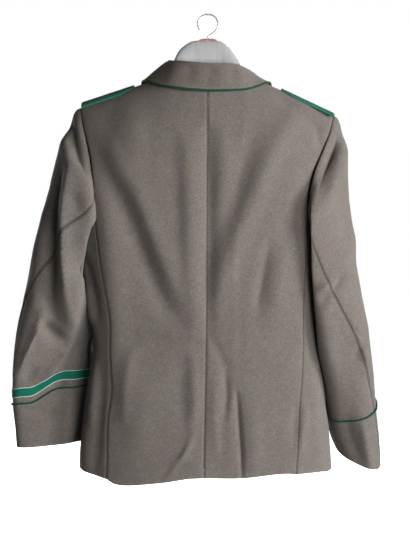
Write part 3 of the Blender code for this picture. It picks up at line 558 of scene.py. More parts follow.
def standOff(point, gap):  # the point, moved out where it is nearer than the gap to the body
    x, y, z = point
    side = 1 if x > 0 else -1
    middle, width = middleAndWidth(z, side)
    share = min(abs(x - middle) / width, 0.999)
    depth = smooth(body, "back" if y < 0 else "front", z)
    depth *= (1 - share**roundness) ** (1 / roundness)
    ratio = abs(y) / depth
    if ratio < 0.75:
        level = math.sqrt(1 - ratio**2)
        surface = shoulderLine(x) - shoulderDrop * (1 - level)
        fall = shoulderDrop * ratio / (depth * level)
        lean = (shoulderLine(x + 1) - shoulderLine(x - 1)) / 2
        normal = unit(np.array((-lean, math.copysign(fall, y), 1.0)))
        distance = (z - surface) * normal[2]
    else:
        turn = turnAt(x, z, y > 0)
        normal = bodyNormal(turn, z)
        distance = (abs(y) - abs(bodyBase(turn, z)[1])) * abs(normal[1])
    return point + normal * max(gap - distance, 0.0)


def sleeveStations(side):
    ends = cuff[side]
    more = (*ends["band"], 7.45, 7.7) if ends["band"] else (6.75, 7.3, 7.65)
    return sorted({*sleeveStops, *ends["piping"], ends["end"], *more})


def sleeveGrid(side, ring, ringNormals):  # the whole sleeve as closed rings from the armhole to the cuff
    ringSize = len(ring)
    top = ring[:, 2].max()
    low = ring[:, 2].min()
    ringAngles = []
    for column, point in enumerate(ring):
        share = (point[2] - (top + low) / 2) / ((top - low) / 2)
        angle = math.degrees(math.acos(min(max(share, -1.0), 1.0)))
        if seamRow < column <= seamRow + armholeRows + sideColumns // 2:
            angle = -angle
        elif column > seamRow + armholeRows + sideColumns // 2:
            angle = angle - 360
        ringAngles.append(angle)
    starts = [sleeveOval(0, side, angle) for angle in ringAngles]
    stations = sleeveStations(side)
    points = np.zeros((len(stations), ringSize, 3))
    for i, station in enumerate(stations):
        away = 1 - ease(station / 2.2)
        for j in range(ringSize):
            angle = sleeveAngle(station, side, j, ringSize, ringAngles)
            point = sleeveOval(station, side, angle) + (ring[j] - starts[j]) * away
            if side < 0:
                step = ease((point[0] - bandStep["x"]) / bandStep["half"] / 2 + 0.5) - 0.5
                near = 1 - min(abs(station - 7), 1)
                point[2] += bandStep["height"] * step * ease(near)
            if station > 0:
                cleared = clearOfBody(point, sleeveClear[1] * ease(station / 0.6) + sleeveClear[0])
                loose = 0.6 * ease((head["end"] - station) / head["end"] * 2)
                loose *= ease((head["halfDepth"] - abs(point[1])) / 10)
                loose *= ease((point[2] - head["low"]) / 50)
                point = point + (cleared - point) * (1 - loose)
            points[i, j] = point
    normals = gridNormals(points, closed=True)
    middle = points.mean(axis=1, keepdims=True)
    if np.sum((points - middle) * normals) < 0:
        normals = -normals
    points[0], normals[0] = seamRing(points, normals, ringNormals)
    return stations, points, normals


def seamRing(points, normals, ringNormals):  # the sleeve's first ring, set off the armhole's edge
    seated = points[0].copy()
    facing = normals[0].copy()
    for j, out in enumerate(ringNormals):
        away = unit(points[1, j] - points[0, j])
        valley = ease((np.dot(away, out) + 0.1) / 0.4)
        seated[j] += away * ringOff["along"] * (1 - valley) + out * ringOff["out"] * valley
        facing[j] = unit(normals[0, j] * valley + out * (1 - valley))
    return seated, facing


def collarPoint(around, across):  # a point of the fall. around is -1 to 1, across 0 at the fold
    station = abs(around)
    side = -1 if around < 0 else 1
    fold = tablePoint(collar, "fold_", station)
    edge = tablePoint(collar, "edge_", station)
    fold[0] *= side
    edge[0] *= side
    lean = collarLean[side]
    level = 1 - ease((station - 0.6) / 0.3)
    fold[2] += (lean["rise"] * abs(fold[0]) - lean["drop"] * ease((station - 0.3) / 0.22)) * level
    edge[2] += lean["edgeRise"] * abs(edge[0]) * level
    edge[0] *= 1 + (lean["reach"] - 1) * ease(station / 0.4)
    point = fold + (edge - fold) * across
    outward = unit(np.array((edge[0] - fold[0], edge[1] - fold[1], 0.0)))
    swell = collarSwell[0] + (collarSwell[1] - collarSwell[0]) * ease((station - 0.3) / 0.2)
    point = point + outward * swell * math.sin(math.pi * min(across * 1.15, 1.0)) ** 0.8
    for _ in range(3):
        point = standOff(point, fallGap)
    return point


def hangerSections():  # sections of the hanger from one end to the other: x, top, height and half depth
    half = {side: [tuple(row) for row in zip(*hanger[side].values())] for side in (-1, 1)}
    arms = {}
    for side in (-1, 1):
        rows = []
        for i in range(armSteps + 1):
            share = i / armSteps
            x = armStart + (hangerEnd - armStart) * share
            slope = (tip[side][1] - neckPointZ) / (tip[side][0] - neckHalf)
            thick = (wall + hangerSeat) * math.hypot(1, slope)
            top = shoulderLine(side * x) - thick
            height = armHeight[0] + (armHeight[1] - armHeight[0]) * share
            depth = armHalfDepth[0] + (armHalfDepth[1] - armHalfDepth[0]) * share
            rows.append((x, top, height, depth))
        arms[side] = rows
    left = [(-x, top, height, depth) for x, top, height, depth in half[-1][1:] + arms[-1]]
    return left[::-1] + half[1] + arms[1]


def humpTop(x):
    return smooth(hanger[-1 if x < 0 else 1], "top", abs(x))


def hookCentres():  # the wire's middle: foot on the cap, a bend to the side, then over the top
    radius = hookInner + wireRadius
    centreZ = -hookInner
    foot = hookFootZ + 0.5
    start, end = map(math.radians, hookTurn)
    begin = np.array((radius * math.cos(start), 0.0, centreZ + radius * math.sin(start)))
    points = []
    handle = np.array((0.0, 0.0, foot + 4.5))
    aim = begin - 5.0 * np.array((-math.sin(start), 0.0, math.cos(start)))
    for i in range(hookSteps["foot"]):
        t = i / hookSteps["foot"]
        points.append(
            (1 - t) ** 3 * np.array((0.0, 0.0, foot))
            + 3 * (1 - t) ** 2 * t * handle
            + 3 * (1 - t) * t**2 * aim
            + t**3 * begin
        )
    for i in range(hookSteps["turn"] + 1):
        angle = start + (end - start) * i / hookSteps["turn"]
        points.append((radius * math.cos(angle), 0.0, centreZ + radius * math.sin(angle)))
    return points


# fine cloth

weave = {
    "edgeSteps": (0.0, 0.025, 0.06, 0.11, 0.17, 0.25, 0.35, 0.5, 0.65, 0.8),  # places beside a seam
    "rowSteps": 9,
    "columnSteps": 8,
    "thickness": 0.0016,
    "seamGap": 0.05,
    "paintedShadeWidth": 1.3,  # mm of painted shade beside a seam, standing in for the shade in its groove
    "wornWidth": 3.0,  # mm of paler cloth beside an open edge
    "rollDepth": 1.3,  # mm that the cloth turns in at a seam
    "rollWidth": 2.6,
    "puckerDepth": 0.45,
    "puckerWidth": 9.0,
    "puckerSize": 7.5,
    "swell": 1.1,  # mm of slow unevenness all over
    "swellSize": 70.0,
    "smoothAngle": math.radians(50),
}
edgeLines = {  # the points of an edge and those beside them
    "first_row": ((0, slice(None)), (1, slice(None))),
    "first_column": ((slice(None), 0), (slice(None), 1)),
    "last_column": ((slice(None), -1), (slice(None), -2)),
}


def units(vectors):
    return vectors / np.maximum(np.linalg.norm(vectors, axis=-1, keepdims=True), 1e-9)


def finePlaces(count, steps, firstFine=True):  # places along a line of coarse points, closer at sewn ends
    places = [count - 1]
    for i in range(count - 1):
        if i == 0 and firstFine:
            places += weave["edgeSteps"]
        elif i == count - 2:
            places += [i] + [i + 1 - p for p in weave["edgeSteps"] if p > 0]
        else:
            places += [i + k / steps for k in range(steps)]
    return np.array(sorted(set(round(p, 6) for p in places)))


def through(values, keys, at):  # rows of values on a smooth curve through the given ones
    keys = np.asarray(keys, float)
    i = np.clip(np.searchsorted(keys, at, side="right") - 1, 0, len(keys) - 2)
    before = np.maximum(i - 1, 0)
    after = np.minimum(i + 2, len(keys) - 1)
    form = (-1,) + (1,) * (values.ndim - 1)
    gap = (keys[i + 1] - keys[i]).reshape(form)
    share = (at - keys[i]).reshape(form) / gap
    start = (values[i + 1] - values[before]) / (keys[i + 1] - keys[before]).reshape(form) * gap
    end = (values[after] - values[i]) / (keys[after] - keys[i]).reshape(form) * gap
    return onCurve(values[i], values[i + 1], start, end, share)


def across(points, keys, at):  # the same along each row
    return through(points.transpose(1, 0, 2), keys, at).transpose(1, 0, 2)


def fineGrid(coarse, rows, columns):  # a coarse grid, read at finer places both ways
    return across(through(coarse, np.arange(coarse.shape[0]), rows), np.arange(coarse.shape[1]), columns)


def fineNormals(points, outward, closed=False):  # unit normals, on the side that outward shows
    along = np.gradient(points, axis=1)
    if closed:
        along = np.roll(points, -1, axis=1) - np.roll(points, 1, axis=1)
    normals = units(np.cross(along, np.gradient(points, axis=0)))
    return normals if np.sum(normals * outward) >= 0 else -normals


def distances(points, axis):  # mm from the first line of points
    steps = np.cumsum(np.linalg.norm(np.diff(points, axis=axis), axis=2), axis=axis)
    return np.concatenate((steps.take([0], axis) * 0, steps), axis=axis)


def edgeDistances(points):  # mm from each edge
    along, down = distances(points, 1), distances(points, 0)
    return {
        "first_column": along,
        "last_column": along[:, -1:] - along,
        "first_row": down,
        "last_row": down[-1:] - down,
    }


def nearestOf(far, edges):  # mm from the nearest of these edges
    return np.minimum.reduce([far[edge] for edge in edges] or [np.full(far["first_row"].shape, 1e3)])


def softNoise(points, size, seed):  # slow unevenness, -1 to 1, that runs on from piece to piece
    flat = points.reshape(-1, 3) / size + seed
    return np.array([noise.noise(Vector(p)) for p in flat]).reshape(points.shape[:2])


def foldHeights(points, folds):  # height of all folds of a list at each point, seen along Y
    x, z = points[:, :, 0], points[:, :, 2]
    total = np.zeros(x.shape)
    for width, depth, sharpness, *line in folds:
        path = np.array(line, float).reshape(-1, 2)
        steps = np.linalg.norm(np.diff(path, axis=0), axis=1)
        run = np.concatenate(((0,), np.cumsum(steps)))
        nearest = np.full(x.shape, 1e9)
        place = np.zeros(x.shape)
        for k, step in enumerate(steps):
            wayX, wayZ = (path[k + 1] - path[k]) / step
            share = np.clip((x - path[k][0]) * wayX + (z - path[k][1]) * wayZ, 0, step)
            distance = np.hypot(x - path[k][0] - wayX * share, z - path[k][1] - wayZ * share)
            place = np.where(distance < nearest, run[k] + share, place)
            nearest = np.minimum(nearest, distance)
        ends = np.minimum(place, run[-1] - place) / max(run[-1] * 0.3, 1)
        taper = 0.35 + 0.65 * np.clip(ends, 0, 1) ** 0.7
        total += depth * taper * np.exp(-((nearest / width) ** sharpness))
    return total


def edgeShape(points, sewn):  # how its sewn edges turn in and pucker, and how near they are
    far = edgeDistances(points)
    change = np.zeros(points.shape[:2])
    bumps = softNoise(points, weave["puckerSize"], 31.7)
    for edge in sewn:
        change -= weave["rollDepth"] * np.exp(-((far[edge] / weave["rollWidth"]) ** 2))
        change += weave["puckerDepth"] * bumps * np.exp(-((far[edge] / weave["puckerWidth"]) ** 2))
    return change, nearestOf(far, [edge for edge in far if edge not in sewn]), nearestOf(far, sewn)


def openSeams(points, sewn):  # draws a panel back a little from each sewn edge
    for edge in sewn:
        first, second = edgeLines[edge]
        points[first] += units(points[second] - points[first]) * weave["seamGap"] / 2


def gridMesh(name, points, lines=None):  # a plain grid moved onto the points, with its UV lines in metres
    rows, columns = points.shape[:2]
    bpy.ops.mesh.primitive_grid_add(x_subdivisions=columns - 1, y_subdivisions=rows - 1, size=1)
    piece = bpy.context.object
    mesh = piece.data
    piece.name = mesh.name = name
    mesh.vertices.foreach_set("co", (points * mm).reshape(-1))
    if lines is not None:
        corners = np.zeros(len(mesh.loops), dtype=np.int32)
        mesh.loops.foreach_get("vertex_index", corners)
        mesh.uv_layers[0].data.foreach_set("uv", lines.reshape(-1, 2)[corners].reshape(-1))
    mesh.update()
    return piece


def editWhole(*steps):  # runs these mesh tools on all of the active mesh
    bpy.ops.object.mode_set(mode="EDIT")
    bpy.ops.mesh.select_all(action="SELECT")
    for step, options in steps:
        step(**options)
    bpy.ops.object.mode_set(mode="OBJECT")


def turnsIn(piece, normals):  # whether the faces look the wrong way
    polygon = piece.data.polygons[len(piece.data.polygons) // 2]
    return Vector(normals.reshape(-1, 3)[polygon.vertices[0]]).dot(polygon.normal) < 0


def thicken(piece, thickness):  # gives a sheet its real wall
    bpy.ops.object.modifier_add(type="SOLIDIFY")
    solid = piece.modifiers[-1]
    solid.thickness = thickness
    solid.offset = -1
    bpy.ops.object.modifier_apply(modifier=solid.name)
    bpy.ops.object.shade_smooth_by_angle(angle=weave["smoothAngle"])


def clothMesh(name, points, normals, nearest, thickness, sewn=None):  # with worn edges and painted shade along its seams
    along = distances(points, 1)
    half = points.shape[1] // 2
    across = along - along[:, half : half + 1] + along.mean(axis=0)[half]
    piece = gridMesh(name, points, np.stack((across, distances(points, 0)), axis=2) * mm)
    shades = {"wear": np.exp(-nearest / weave["wornWidth"])}
    if sewn is not None:
        # the seam value is painted shade: it darkens the cloth where a seam's groove would be in shade
        shades["seam"] = np.exp(-((sewn / weave["paintedShadeWidth"]) ** 2))
    for label, shade in shades.items():
        values = shade.reshape(-1).astype(np.float32)
        piece.data.attributes.new(label, "FLOAT", "POINT").data.foreach_set("value", values)
    if turnsIn(piece, normals):
        editWhole((bpy.ops.mesh.flip_normals, {}))
    thicken(piece, thickness)
    return piece


sheets = []  # piece, flat size, area and what is fixed on it


def keepSheet(piece, points, onIt=()):  # notes the cut's width, length and area in metres
    corner = points[:-1, :-1]
    far = points[1:, 1:] - corner
    area = 0
    for near in (points[1:, :-1] - corner, points[:-1, 1:] - corner):
        area += np.linalg.norm(np.cross(near, far), axis=2).sum() / 2 * mm * mm
    width = distances(points, 1)[:, -1].max() * mm
    length = distances(points, 0)[-1].max() * mm
    sheets.append((piece, (width, length), min(area, width * length), onIt))


def finish(piece, look, slot, *nodes):  # its material, its body and the nodes it stands for
    piece.data.materials.clear()
    piece.data.materials.append(materials[look])
    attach(piece, "root")
    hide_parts(*nodes)
    piece.select_set(False)
    return piece


def clothPanel(name, node, coarse, sewn):
    rows = finePlaces(coarse[0].shape[0], weave["rowSteps"], "first_row" in sewn)
    columns = finePlaces(coarse[0].shape[1], weave["columnSteps"])
    outer, guide = (fineGrid(grid, rows, columns) for grid in coarse)
    facing = units(guide)
    change, nearest, seamDistance = edgeShape(outer, sewn)
    size = weave["swellSize"]
    swell = softNoise(outer, size, 3.1) + 0.4 * softNoise(outer, size / 3, 9.4)
    outer = outer + facing * (torsoHeight(outer, facing) + change + weave["swell"] * swell)[:, :, None]
    normals = fineNormals(outer, facing)
    openSeams(outer, sewn)
    piece = clothMesh(name, outer, normals, nearest, weave["thickness"], seamDistance)
    keepSheet(finish(piece, "wool", "wool_cloth", node), outer)


# folds: width, depth and sharpness, then x and z of each point on the way, in mm

torsoFolds = {
    "back": (
        (20, -9.5, 1.9, -204, -250, -180, -305, -159, -342, -140, -378,
         -122, -425, -104, -470, -84, -520, -60, -560),
        (30, 11.0, 2, -196, -300, -184, -380, -176, -470, -170, -560, -168, -650),
        (22, 6.5, 2, -172, -262, -150, -300, -128, -335, -106, -396, -78, -464, -50, -525),
        (19, -2.2, 2, -66, -235, -59, -330, -46, -430),
        (16, 4.2, 2, -38, -235, -35, -330, -33, -430, -29, -510, -22, -570),
        (12, -6.5, 1.8, 0, -215, 2, -300, 3, -420, 2, -520, 2, -590),
        (16, 3.0, 2, 30, -220, 32, -300, 28, -370),
        (19, -3.6, 2, 84, -215, 62, -290, 46, -350, 24, -430),
        (22, 9.5, 2, 165, -180, 116, -258, 84, -334, 56, -397, 29, -475, 12, -540),
        (22, -4.5, 2, 196, -262, 172, -340, 146, -400, 128, -440),
        (10, -4.6, 1.7, 110, -425, 104, -458, 96, -502, 90, -545),
        (18, 5.0, 2, 136, -420, 126, -500, 118, -570),
        (10, -5.0, 1.8, 120, -150, 160, -178, 202, -212),
        (9, -4.0, 1.8, 200, -200, 204, -250),
        (26, -2.0, 2, -178, -165, -186, -225),
        (28, 2.0, 2, -146, -165, -138, -230, -120, -300),
        (22, -2.0, 2, -104, -190, -96, -290),
        (14, -3.5, 2, -165, -590, -110, -596, -50, -590),
        (14, 4.0, 1.8, -118, -604, -140, -630, -150, -690, -152, -740),
        (30, 4.0, 2, -120, -650, -126, -730, -124, -800),
        (17, -2.4, 2, -52, -640, -50, -700, -44, -750),
        (12, 3.8, 2, -27, -620, -24, -700, -28, -770),
        (5, 4.2, 1.4, -26, -768, -46, -808, -72, -842),
        (10, -2.6, 1.8, 5, -594, 24, -628, 42, -664),
        (6, -4.5, 1.6, 31, -655, 35, -695, 30, -738),
        (10, 3.0, 2, 14, -660, 12, -740, 16, -800),
        (5, -7.0, 1.3, 52, -690, 56, -741, 60, -800, 61, -850),
        (14, 2.6, 1.8, 80, -700, 84, -840),
        (9, 5.0, 1.8, 180, -718, 172, -760, 165, -805),
        (9, -3.5, 1.8, 162, -715, 156, -770),
        (9, -6.5, 1.7, -232, -440, -218, -470, -206, -520, -200, -560),
        (8, 6.5, 1.6, -222, -500, -214, -540, -206, -590),
        (8, -6.5, 1.7, -208, -560, -216, -610, -220, -680),
        (9, 5.0, 1.8, -206, -640, -208, -700, -216, -760),
        (7, -5.0, 1.7, -194, -650, -198, -740, -206, -840),
        (8, 3.5, 1.8, -226, -760, -224, -845),
        (12, -4.5, 1.8, 200, -440, 192, -560, 190, -640),
        (9, 2.8, 1.8, 188, -650, 196, -760, 206, -830),
    ),
    "front": (
        (13, -5.5, 1.8, -150, -300, -120, -380, -88, -450, -62, -500),
        (14, 3.4, 2, -128, -290, -96, -370, -66, -430),
        (12, -4.4, 1.8, 156, -330, 128, -400, 102, -470),
        (13, 3.4, 2, 180, -350, 150, -430, 128, -500),
        (11, -3.6, 1.8, -175, -560, -150, -600, -130, -620),
        (11, -3.6, 1.8, 170, -560, 140, -590, 118, -600),
        (10, -3.8, 1.8, -110, -690, -104, -760, -112, -845),
        (13, 3.2, 2, -150, -700, -160, -845),
        (9, -3.2, 1.8, 95, -705, 104, -780, 98, -845),
        (12, 3.0, 2, 150, -690, 158, -845),
        (8, -2.4, 2, 30, -620, 46, -700),
    ),
}


sleeveCreases = {
    -1: {
        "back": (
            (13, 19.0, 1.3, -250, -285, -255, -340, -257, -430, -258, -510, -254, -560),
            (12, -13.0, 2, -270, -290, -279, -340, -286, -430, -288, -520, -276, -575),
            (16, 6.0, 2, -302, -380, -312, -480, -322, -560),
            (9, -12.0, 1.6, -254, -200, -247, -235, -236, -266, -214, -296),
            (10, 6.0, 2, -240, -176, -228, -220, -214, -258),
            (13, 6.0, 1.8, -262, -225, -250, -275),
            (34, 4.5, 2, -232, -378, -230, -395),
            (11, -3.0, 2, -250, -330, -226, -372),
            (10, -11.0, 2, -212, -462, -224, -470, -234, -474),
            (12, 9.0, 1.5, -240, -478, -238, -520, -244, -560, -258, -602),
            (10, -6.0, 1.8, -222, -560, -230, -600, -240, -640),
            (12, -15.0, 1.8, -304, -566, -286, -588, -268, -600),
            (6, 6.0, 1.5, -300, -545, -311, -572, -304, -594),
            (6, 8.0, 1.3, -252, -600, -274, -632, -304, -676),
            (5, 6.5, 1.3, -304, -566, -324, -604, -345, -654),
            (13, -8.0, 1.8, -314, -650, -338, -676),
            (11, -6.5, 1.8, -232, -610, -256, -650, -280, -690),
            (4, -4.6, 1.6, -342, -726, -325, -731, -300, -733, -278, -726),
            (34, 9.0, 2, -256, -650, -262, -720, -266, -800),
            (15, 4.5, 2, -262, -720, -268, -800),
            (11, -4.0, 2, -244, -720, -250, -795),
            (14, 2.4, 2, -306, -745, -312, -795),
        ),
        "front": (
            (10, -4.5, 1.8, -262, -230, -236, -300),
            (12, 4.0, 2, -276, -330, -268, -470),
            (11, -7.0, 1.7, -246, -540, -282, -556, -316, -560),
            (10, 5.0, 1.8, -250, -570, -292, -590, -330, -586),
            (10, -5.0, 1.8, -262, -610, -310, -625),
            (9, -3.0, 2, -300, -720, -292, -780),
        ),
    },
    1: {
        "back": (
            (13, -18.0, 1.8, 243, -222, 232, -246, 215, -284, 202, -320),
            (9, 6.0, 2, 226, -196, 214, -236, 204, -262),
            (12, 8.0, 2, 246, -254, 238, -282, 224, -320, 212, -352),
            (7, 7.5, 1.6, 200, -508, 213, -497, 226, -492),
            (5, -6.5, 1.5, 229, -506, 238, -494, 247, -478),
            (6, -4.5, 1.6, 204, -528, 218, -516),
            (5, 3.0, 1.6, 214, -540, 226, -528),
            (5, -2.6, 1.6, 220, -553, 232, -541),
            (12, 4.5, 2, 246, -462, 262, -430, 266, -390),
            (18, 10.0, 2, 208, -545, 219, -620, 234, -700, 246, -770, 262, -832),
            (5, -4.2, 1.5, 266, -577, 284, -600, 270, -625, 284, -645),
            (8, 4.0, 1.8, 276, -590, 284, -622, 286, -665),
            (12, 4.0, 1.8, 262, -560, 280, -610, 296, -660),
            (15, -3.6, 2, 246, -330, 252, -390),
            (9, -4.2, 1.8, 252, -735, 262, -780, 276, -815),
            (10, 4.5, 1.8, 282, -745, 292, -800, 300, -840),
        ),
        "front": (
            (10, -4.5, 1.8, 256, -240, 232, -310),
            (12, 3.8, 2, 262, -330, 258, -450),
            (11, -6.5, 1.7, 228, -530, 262, -548, 296, -545),
            (10, 5.0, 1.8, 234, -560, 274, -580, 306, -574),
            (10, -4.6, 1.8, 246, -600, 292, -612),
            (9, -3.0, 2, 272, -720, 282, -790),
        ),
    },
}


def foldsBothSides(points, folds, behind, ahead):
    return foldHeights(points, folds["back"]) * behind + foldHeights(points, folds["front"]) * ahead


def torsoHeight(points, facing):
    shares = (np.clip(way * facing[:, :, 1] / 0.35, 0, 1) for way in (-1, 1))
    return foldsBothSides(points, torsoFolds, *shares)


def sleeveHeight(side, points, facing):
    lean = facing[:, :, 1] - 0.3
    shares = (np.clip(-lean / 0.6, 0, 1), np.clip(lean / 0.4, 0, 1))
    return foldsBothSides(points, sleeveCreases[side], *shares)


# materials

looks = {
    "wool": (0.172, 0.149, 0.134),
    "woolDark": (0.098, 0.088, 0.078),
    "woolPale": (0.27, 0.236, 0.21),
    "collarWool": (0.162, 0.134, 0.112),
    "felt": ((0.002, 0.055, 0.03), (0.003, 0.06, 0.035), (0.008, 0.13, 0.075)),
    # the board's pale tone goes on its edges: partly wear, partly a painted highlight
    "board": ((0.002, 0.105, 0.06), (0.001, 0.05, 0.03), (0.02, 0.26, 0.17)),
    "ribbon": (0.0006, 0.125, 0.08),
    "ribbonEdge": (0.62, 0.66, 0.64),
    # colour multiplied in as painted shade along the seams
    "paintedSeamShade": (0.16, 0.15, 0.15),
    "sheenTint": (0.9, 0.86, 0.8),
}
texture = {
    "clouds": 26.0,
    "flecks": 300.0,
    "threads": 560.0,
    "tint": 90.0,
    "nap": 900.0,
    "twill": 330.0,  # ridges to the metre, over 3.14
    "twillTurn": math.radians(63),
    "ribs": 300.0,
    "ribbonEdge": (0.43, 0.45),  # share of the width from the middle where the pale thread starts
    "streaks": 160.0,
}


def feed(tree, node, inputs):  # gives each input a number, a colour or another node's output
    for label, value in inputs.items():
        socket = node.inputs[label]
        if isinstance(value, bpy.types.NodeSocket):
            tree.links.new(value, socket)
        else:
            socket.default_value = (*value, 1) if socket.type == "RGBA" else value


def put(tree, kind, inputs):
    node = tree.nodes.new("ShaderNode" + kind)
    feed(tree, node, inputs)
    return node.outputs


def mixed(tree, share, first, second, way="MIX"):  # two colours
    node = tree.nodes.new("ShaderNodeMix")
    node.data_type = "RGBA"
    node.blend_type = way
    feed(tree, node, {"Factor": share, "A": first, "B": second})
    return node.outputs["Result"]


def maths(tree, operation, *values):
    node = tree.nodes.new("ShaderNodeMath")
    node.operation = operation
    feed(tree, node, dict(enumerate(values)))
    return node.outputs[0]


def times(tree, first, second):
    return maths(tree, "MULTIPLY", first, second)


def stretched(tree, value, start=(0, 1), end=(0, 1)):  # a range of values laid on another
    labels = ("From Min", "From Max", "To Min", "To Max")
    return put(tree, "MapRange", {"Value": value, **dict(zip(labels, (*start, *end)))})["Result"]


def mottle(tree, place, scale, detail=2.0, roughness=0.5, output="Fac"):
    inputs = {"Vector": place, "Scale": scale, "Detail": detail, "Roughness": roughness}
    return put(tree, "TexNoise", inputs)[output]


def objectPlace(tree):
    return put(tree, "TexCoord", {})["Object"]


def clothPlace(tree):
    return put(tree, "UVMap", {})["UV"]


def shade(tree, name):  # a shade kept on the mesh
    node = tree.nodes.new("ShaderNodeAttribute")
    node.attribute_name = name
    return node.outputs["Fac"]


def nodeGroup(name, inputs, outputs):  # an empty group with named sockets, and its two ends
    group = bpy.data.node_groups.new(name, "ShaderNodeTree")
    for label, value in inputs.items():
        kind = "Color" if isinstance(value, tuple) else "Float"
        socket = group.interface.new_socket(name=label, in_out="INPUT", socket_type="NodeSocket" + kind)
        socket.default_value = (*value, 1) if kind == "Color" else value
    for label in outputs:
        kind = "Color" if label == "Colour" else "Float"
        group.interface.new_socket(name=label, in_out="OUTPUT", socket_type="NodeSocket" + kind)
    start = group.nodes.new("NodeGroupInput")
    return group, start.outputs, group.nodes.new("NodeGroupOutput")


def heatherGroup():  # mottled wool: slow clouds, fibre flecks, woven threads, a worn edge and painted shade along a seam
    inputs = {"Base": looks["wool"], "Dark": looks["woolDark"], "Pale": looks["woolPale"]}
    inputs.update({"Clouds": 0.3, "Flecks": 0.3, "Wear": 0.3})
    group, given, end = nodeGroup("heather", inputs, ("Colour", "Roughness"))
    place = objectPlace(group)
    clouds = mottle(group, place, texture["clouds"], 4.0)
    flecks = mottle(group, place, texture["flecks"], 3.0, 0.7)
    drawn = put(group, "Mapping", {"Vector": place, "Scale": (0.6, 1.0, 1.0)})["Vector"]
    threads = mottle(group, drawn, texture["threads"], 1.0)
    tint = mottle(group, place, texture["tint"], 2.0, output="Color")
    colour = mixed(group, times(group, clouds, given["Clouds"]), given["Base"], given["Dark"])
    paleShare = times(group, stretched(group, flecks, (0.42, 0.72)), given["Flecks"])
    colour = mixed(group, paleShare, colour, given["Pale"])
    colour = mixed(group, stretched(group, threads, (0.62, 0.38), (0, 0.55)), colour, given["Dark"])
    colour = mixed(group, 0.16, colour, tint, "SOFT_LIGHT")
    colour = mixed(group, times(group, shade(group, "wear"), given["Wear"]), colour, given["Pale"])
    # painted shade beside the seams, multiplied in by the seam value
    colour = mixed(group, times(group, shade(group, "seam"), 0.7), colour, looks["paintedSeamShade"], "MULTIPLY")
    feed(group, end, {"Colour": colour, "Roughness": stretched(group, flecks, end=(0.82, 0.97))})
    return group


def twillGroup():  # height of a fulled twill: slanting ridges under a soft nap
    group, given, end = nodeGroup("twill", {"Ridges": 300.0, "Nap": 0.6}, ("Height",))
    turn = (0, 0, texture["twillTurn"])
    turned = put(group, "Mapping", {"Vector": clothPlace(group), "Rotation": turn})
    waves = {"Vector": turned["Vector"], "Scale": given["Ridges"]}
    waves.update({"Distortion": 1.2, "Detail": 2.0, "Detail Scale": 3.0})
    nap = mottle(group, objectPlace(group), texture["nap"], 4.0, 0.75)
    ridges = put(group, "TexWave", waves)["Fac"]
    feed(group, end, {"Height": maths(group, "ADD", ridges, times(group, nap, given["Nap"]))})
    return group


def grainGroup():  # moulded plastic: faint flow lines and cloudy colour
    inputs = {"Base": (0.6, 0.6, 0.6), "Soiled": (0.4, 0.4, 0.4), "Streaks": 0.4}
    group, given, end = nodeGroup("mouldedGrain", inputs, ("Colour", "Roughness", "Height"))
    drawn = put(group, "Mapping", {"Vector": objectPlace(group), "Scale": (1.0, 1.0, 0.12)})["Vector"]
    streaks = mottle(group, drawn, texture["streaks"], 4.0)
    colour = mixed(group, times(group, streaks, given["Streaks"]), given["Base"], given["Soiled"])
    roughness = stretched(group, streaks, end=(0.35, 0.6))
    feed(group, end, {"Colour": colour, "Roughness": roughness, "Height": streaks})
    return group


groups = {"heather": heatherGroup(), "twill": twillGroup(), "grain": grainGroup()}


def newMaterial(name):
    made = bpy.data.materials.new(name)
    made.use_nodes = True
    return made, made.node_tree, made.node_tree.nodes["Principled BSDF"]


def placeGroup(tree, name, values):
    node = tree.nodes.new("ShaderNodeGroup")
    node.node_tree = groups[name]
    feed(tree, node, values)
    return node.outputs


def bumped(tree, height, distance, strength):
    return put(tree, "Bump", {"Height": height, "Distance": distance, "Strength": strength})["Normal"]


def woolMaterial(name, base, dark, pale, clouds=0.4, flecks=0.5, wear=0.25, sheen=0.12):
    made, tree, shader = newMaterial(name)
    shares = {"Clouds": clouds, "Flecks": flecks, "Wear": wear}
    heather = placeGroup(tree, "heather", {"Base": base, "Dark": dark, "Pale": pale, **shares})
    twill = placeGroup(tree, "twill", {"Ridges": texture["twill"]})["Height"]
    feed(tree, shader, {
        "Base Color": heather["Colour"],
        "Roughness": heather["Roughness"],
        "Normal": bumped(tree, twill, 0.0003, 0.9),
        "Specular IOR Level": 0.18,
        "Sheen Weight": sheen,
        "Sheen Roughness": 0.5,
        "Sheen Tint": looks["sheenTint"],
    })
    return made


def ribbonMaterial():  # a woven ribbon with a pale thread along each edge
    made, tree, shader = newMaterial("wovenRibbon")
    split = put(tree, "SeparateXYZ", {"Vector": clothPlace(tree)})
    middle = maths(tree, "ABSOLUTE", maths(tree, "SUBTRACT", split["Y"], 0.5))
    waves = {"Vector": clothPlace(tree), "Scale": texture["ribs"], "Distortion": 0.6}
    ribs = put(tree, "TexWave", waves)["Fac"]
    green = mixed(tree, ribs, tuple(c * 0.75 for c in looks["ribbon"]), looks["ribbon"])
    edge = stretched(tree, middle, texture["ribbonEdge"])
    feed(tree, shader, {
        "Base Color": mixed(tree, edge, green, looks["ribbonEdge"]),
        "Roughness": 0.6,
        "Specular IOR Level": 0.12,
        "Normal": bumped(tree, ribs, 0.0002, 0.6),
    })
    return made


def plasticMaterial(name, base, soiled, streaks, bump):
    made, tree, shader = newMaterial(name)
    grain = placeGroup(tree, "grain", {"Base": base, "Soiled": soiled, "Streaks": streaks})
    feed(tree, shader, {
        "Base Color": grain["Colour"],
        "Roughness": grain["Roughness"],
        "Normal": bumped(tree, grain["Height"], bump, 0.5),
    })
    return made


def metalMaterial(name, base, soiled, rough, scale):
    made, tree, shader = newMaterial(name)
    tone = mottle(tree, objectPlace(tree), scale, 5.0)
    feed(tree, shader, {
        "Base Color": mixed(tree, tone, base, soiled),
        "Roughness": stretched(tree, tone, end=(rough - 0.1, rough + 0.15)),
        "Metallic": 1.0,
        "Normal": bumped(tree, tone, 0.00004, 0.4),
    })
    return made


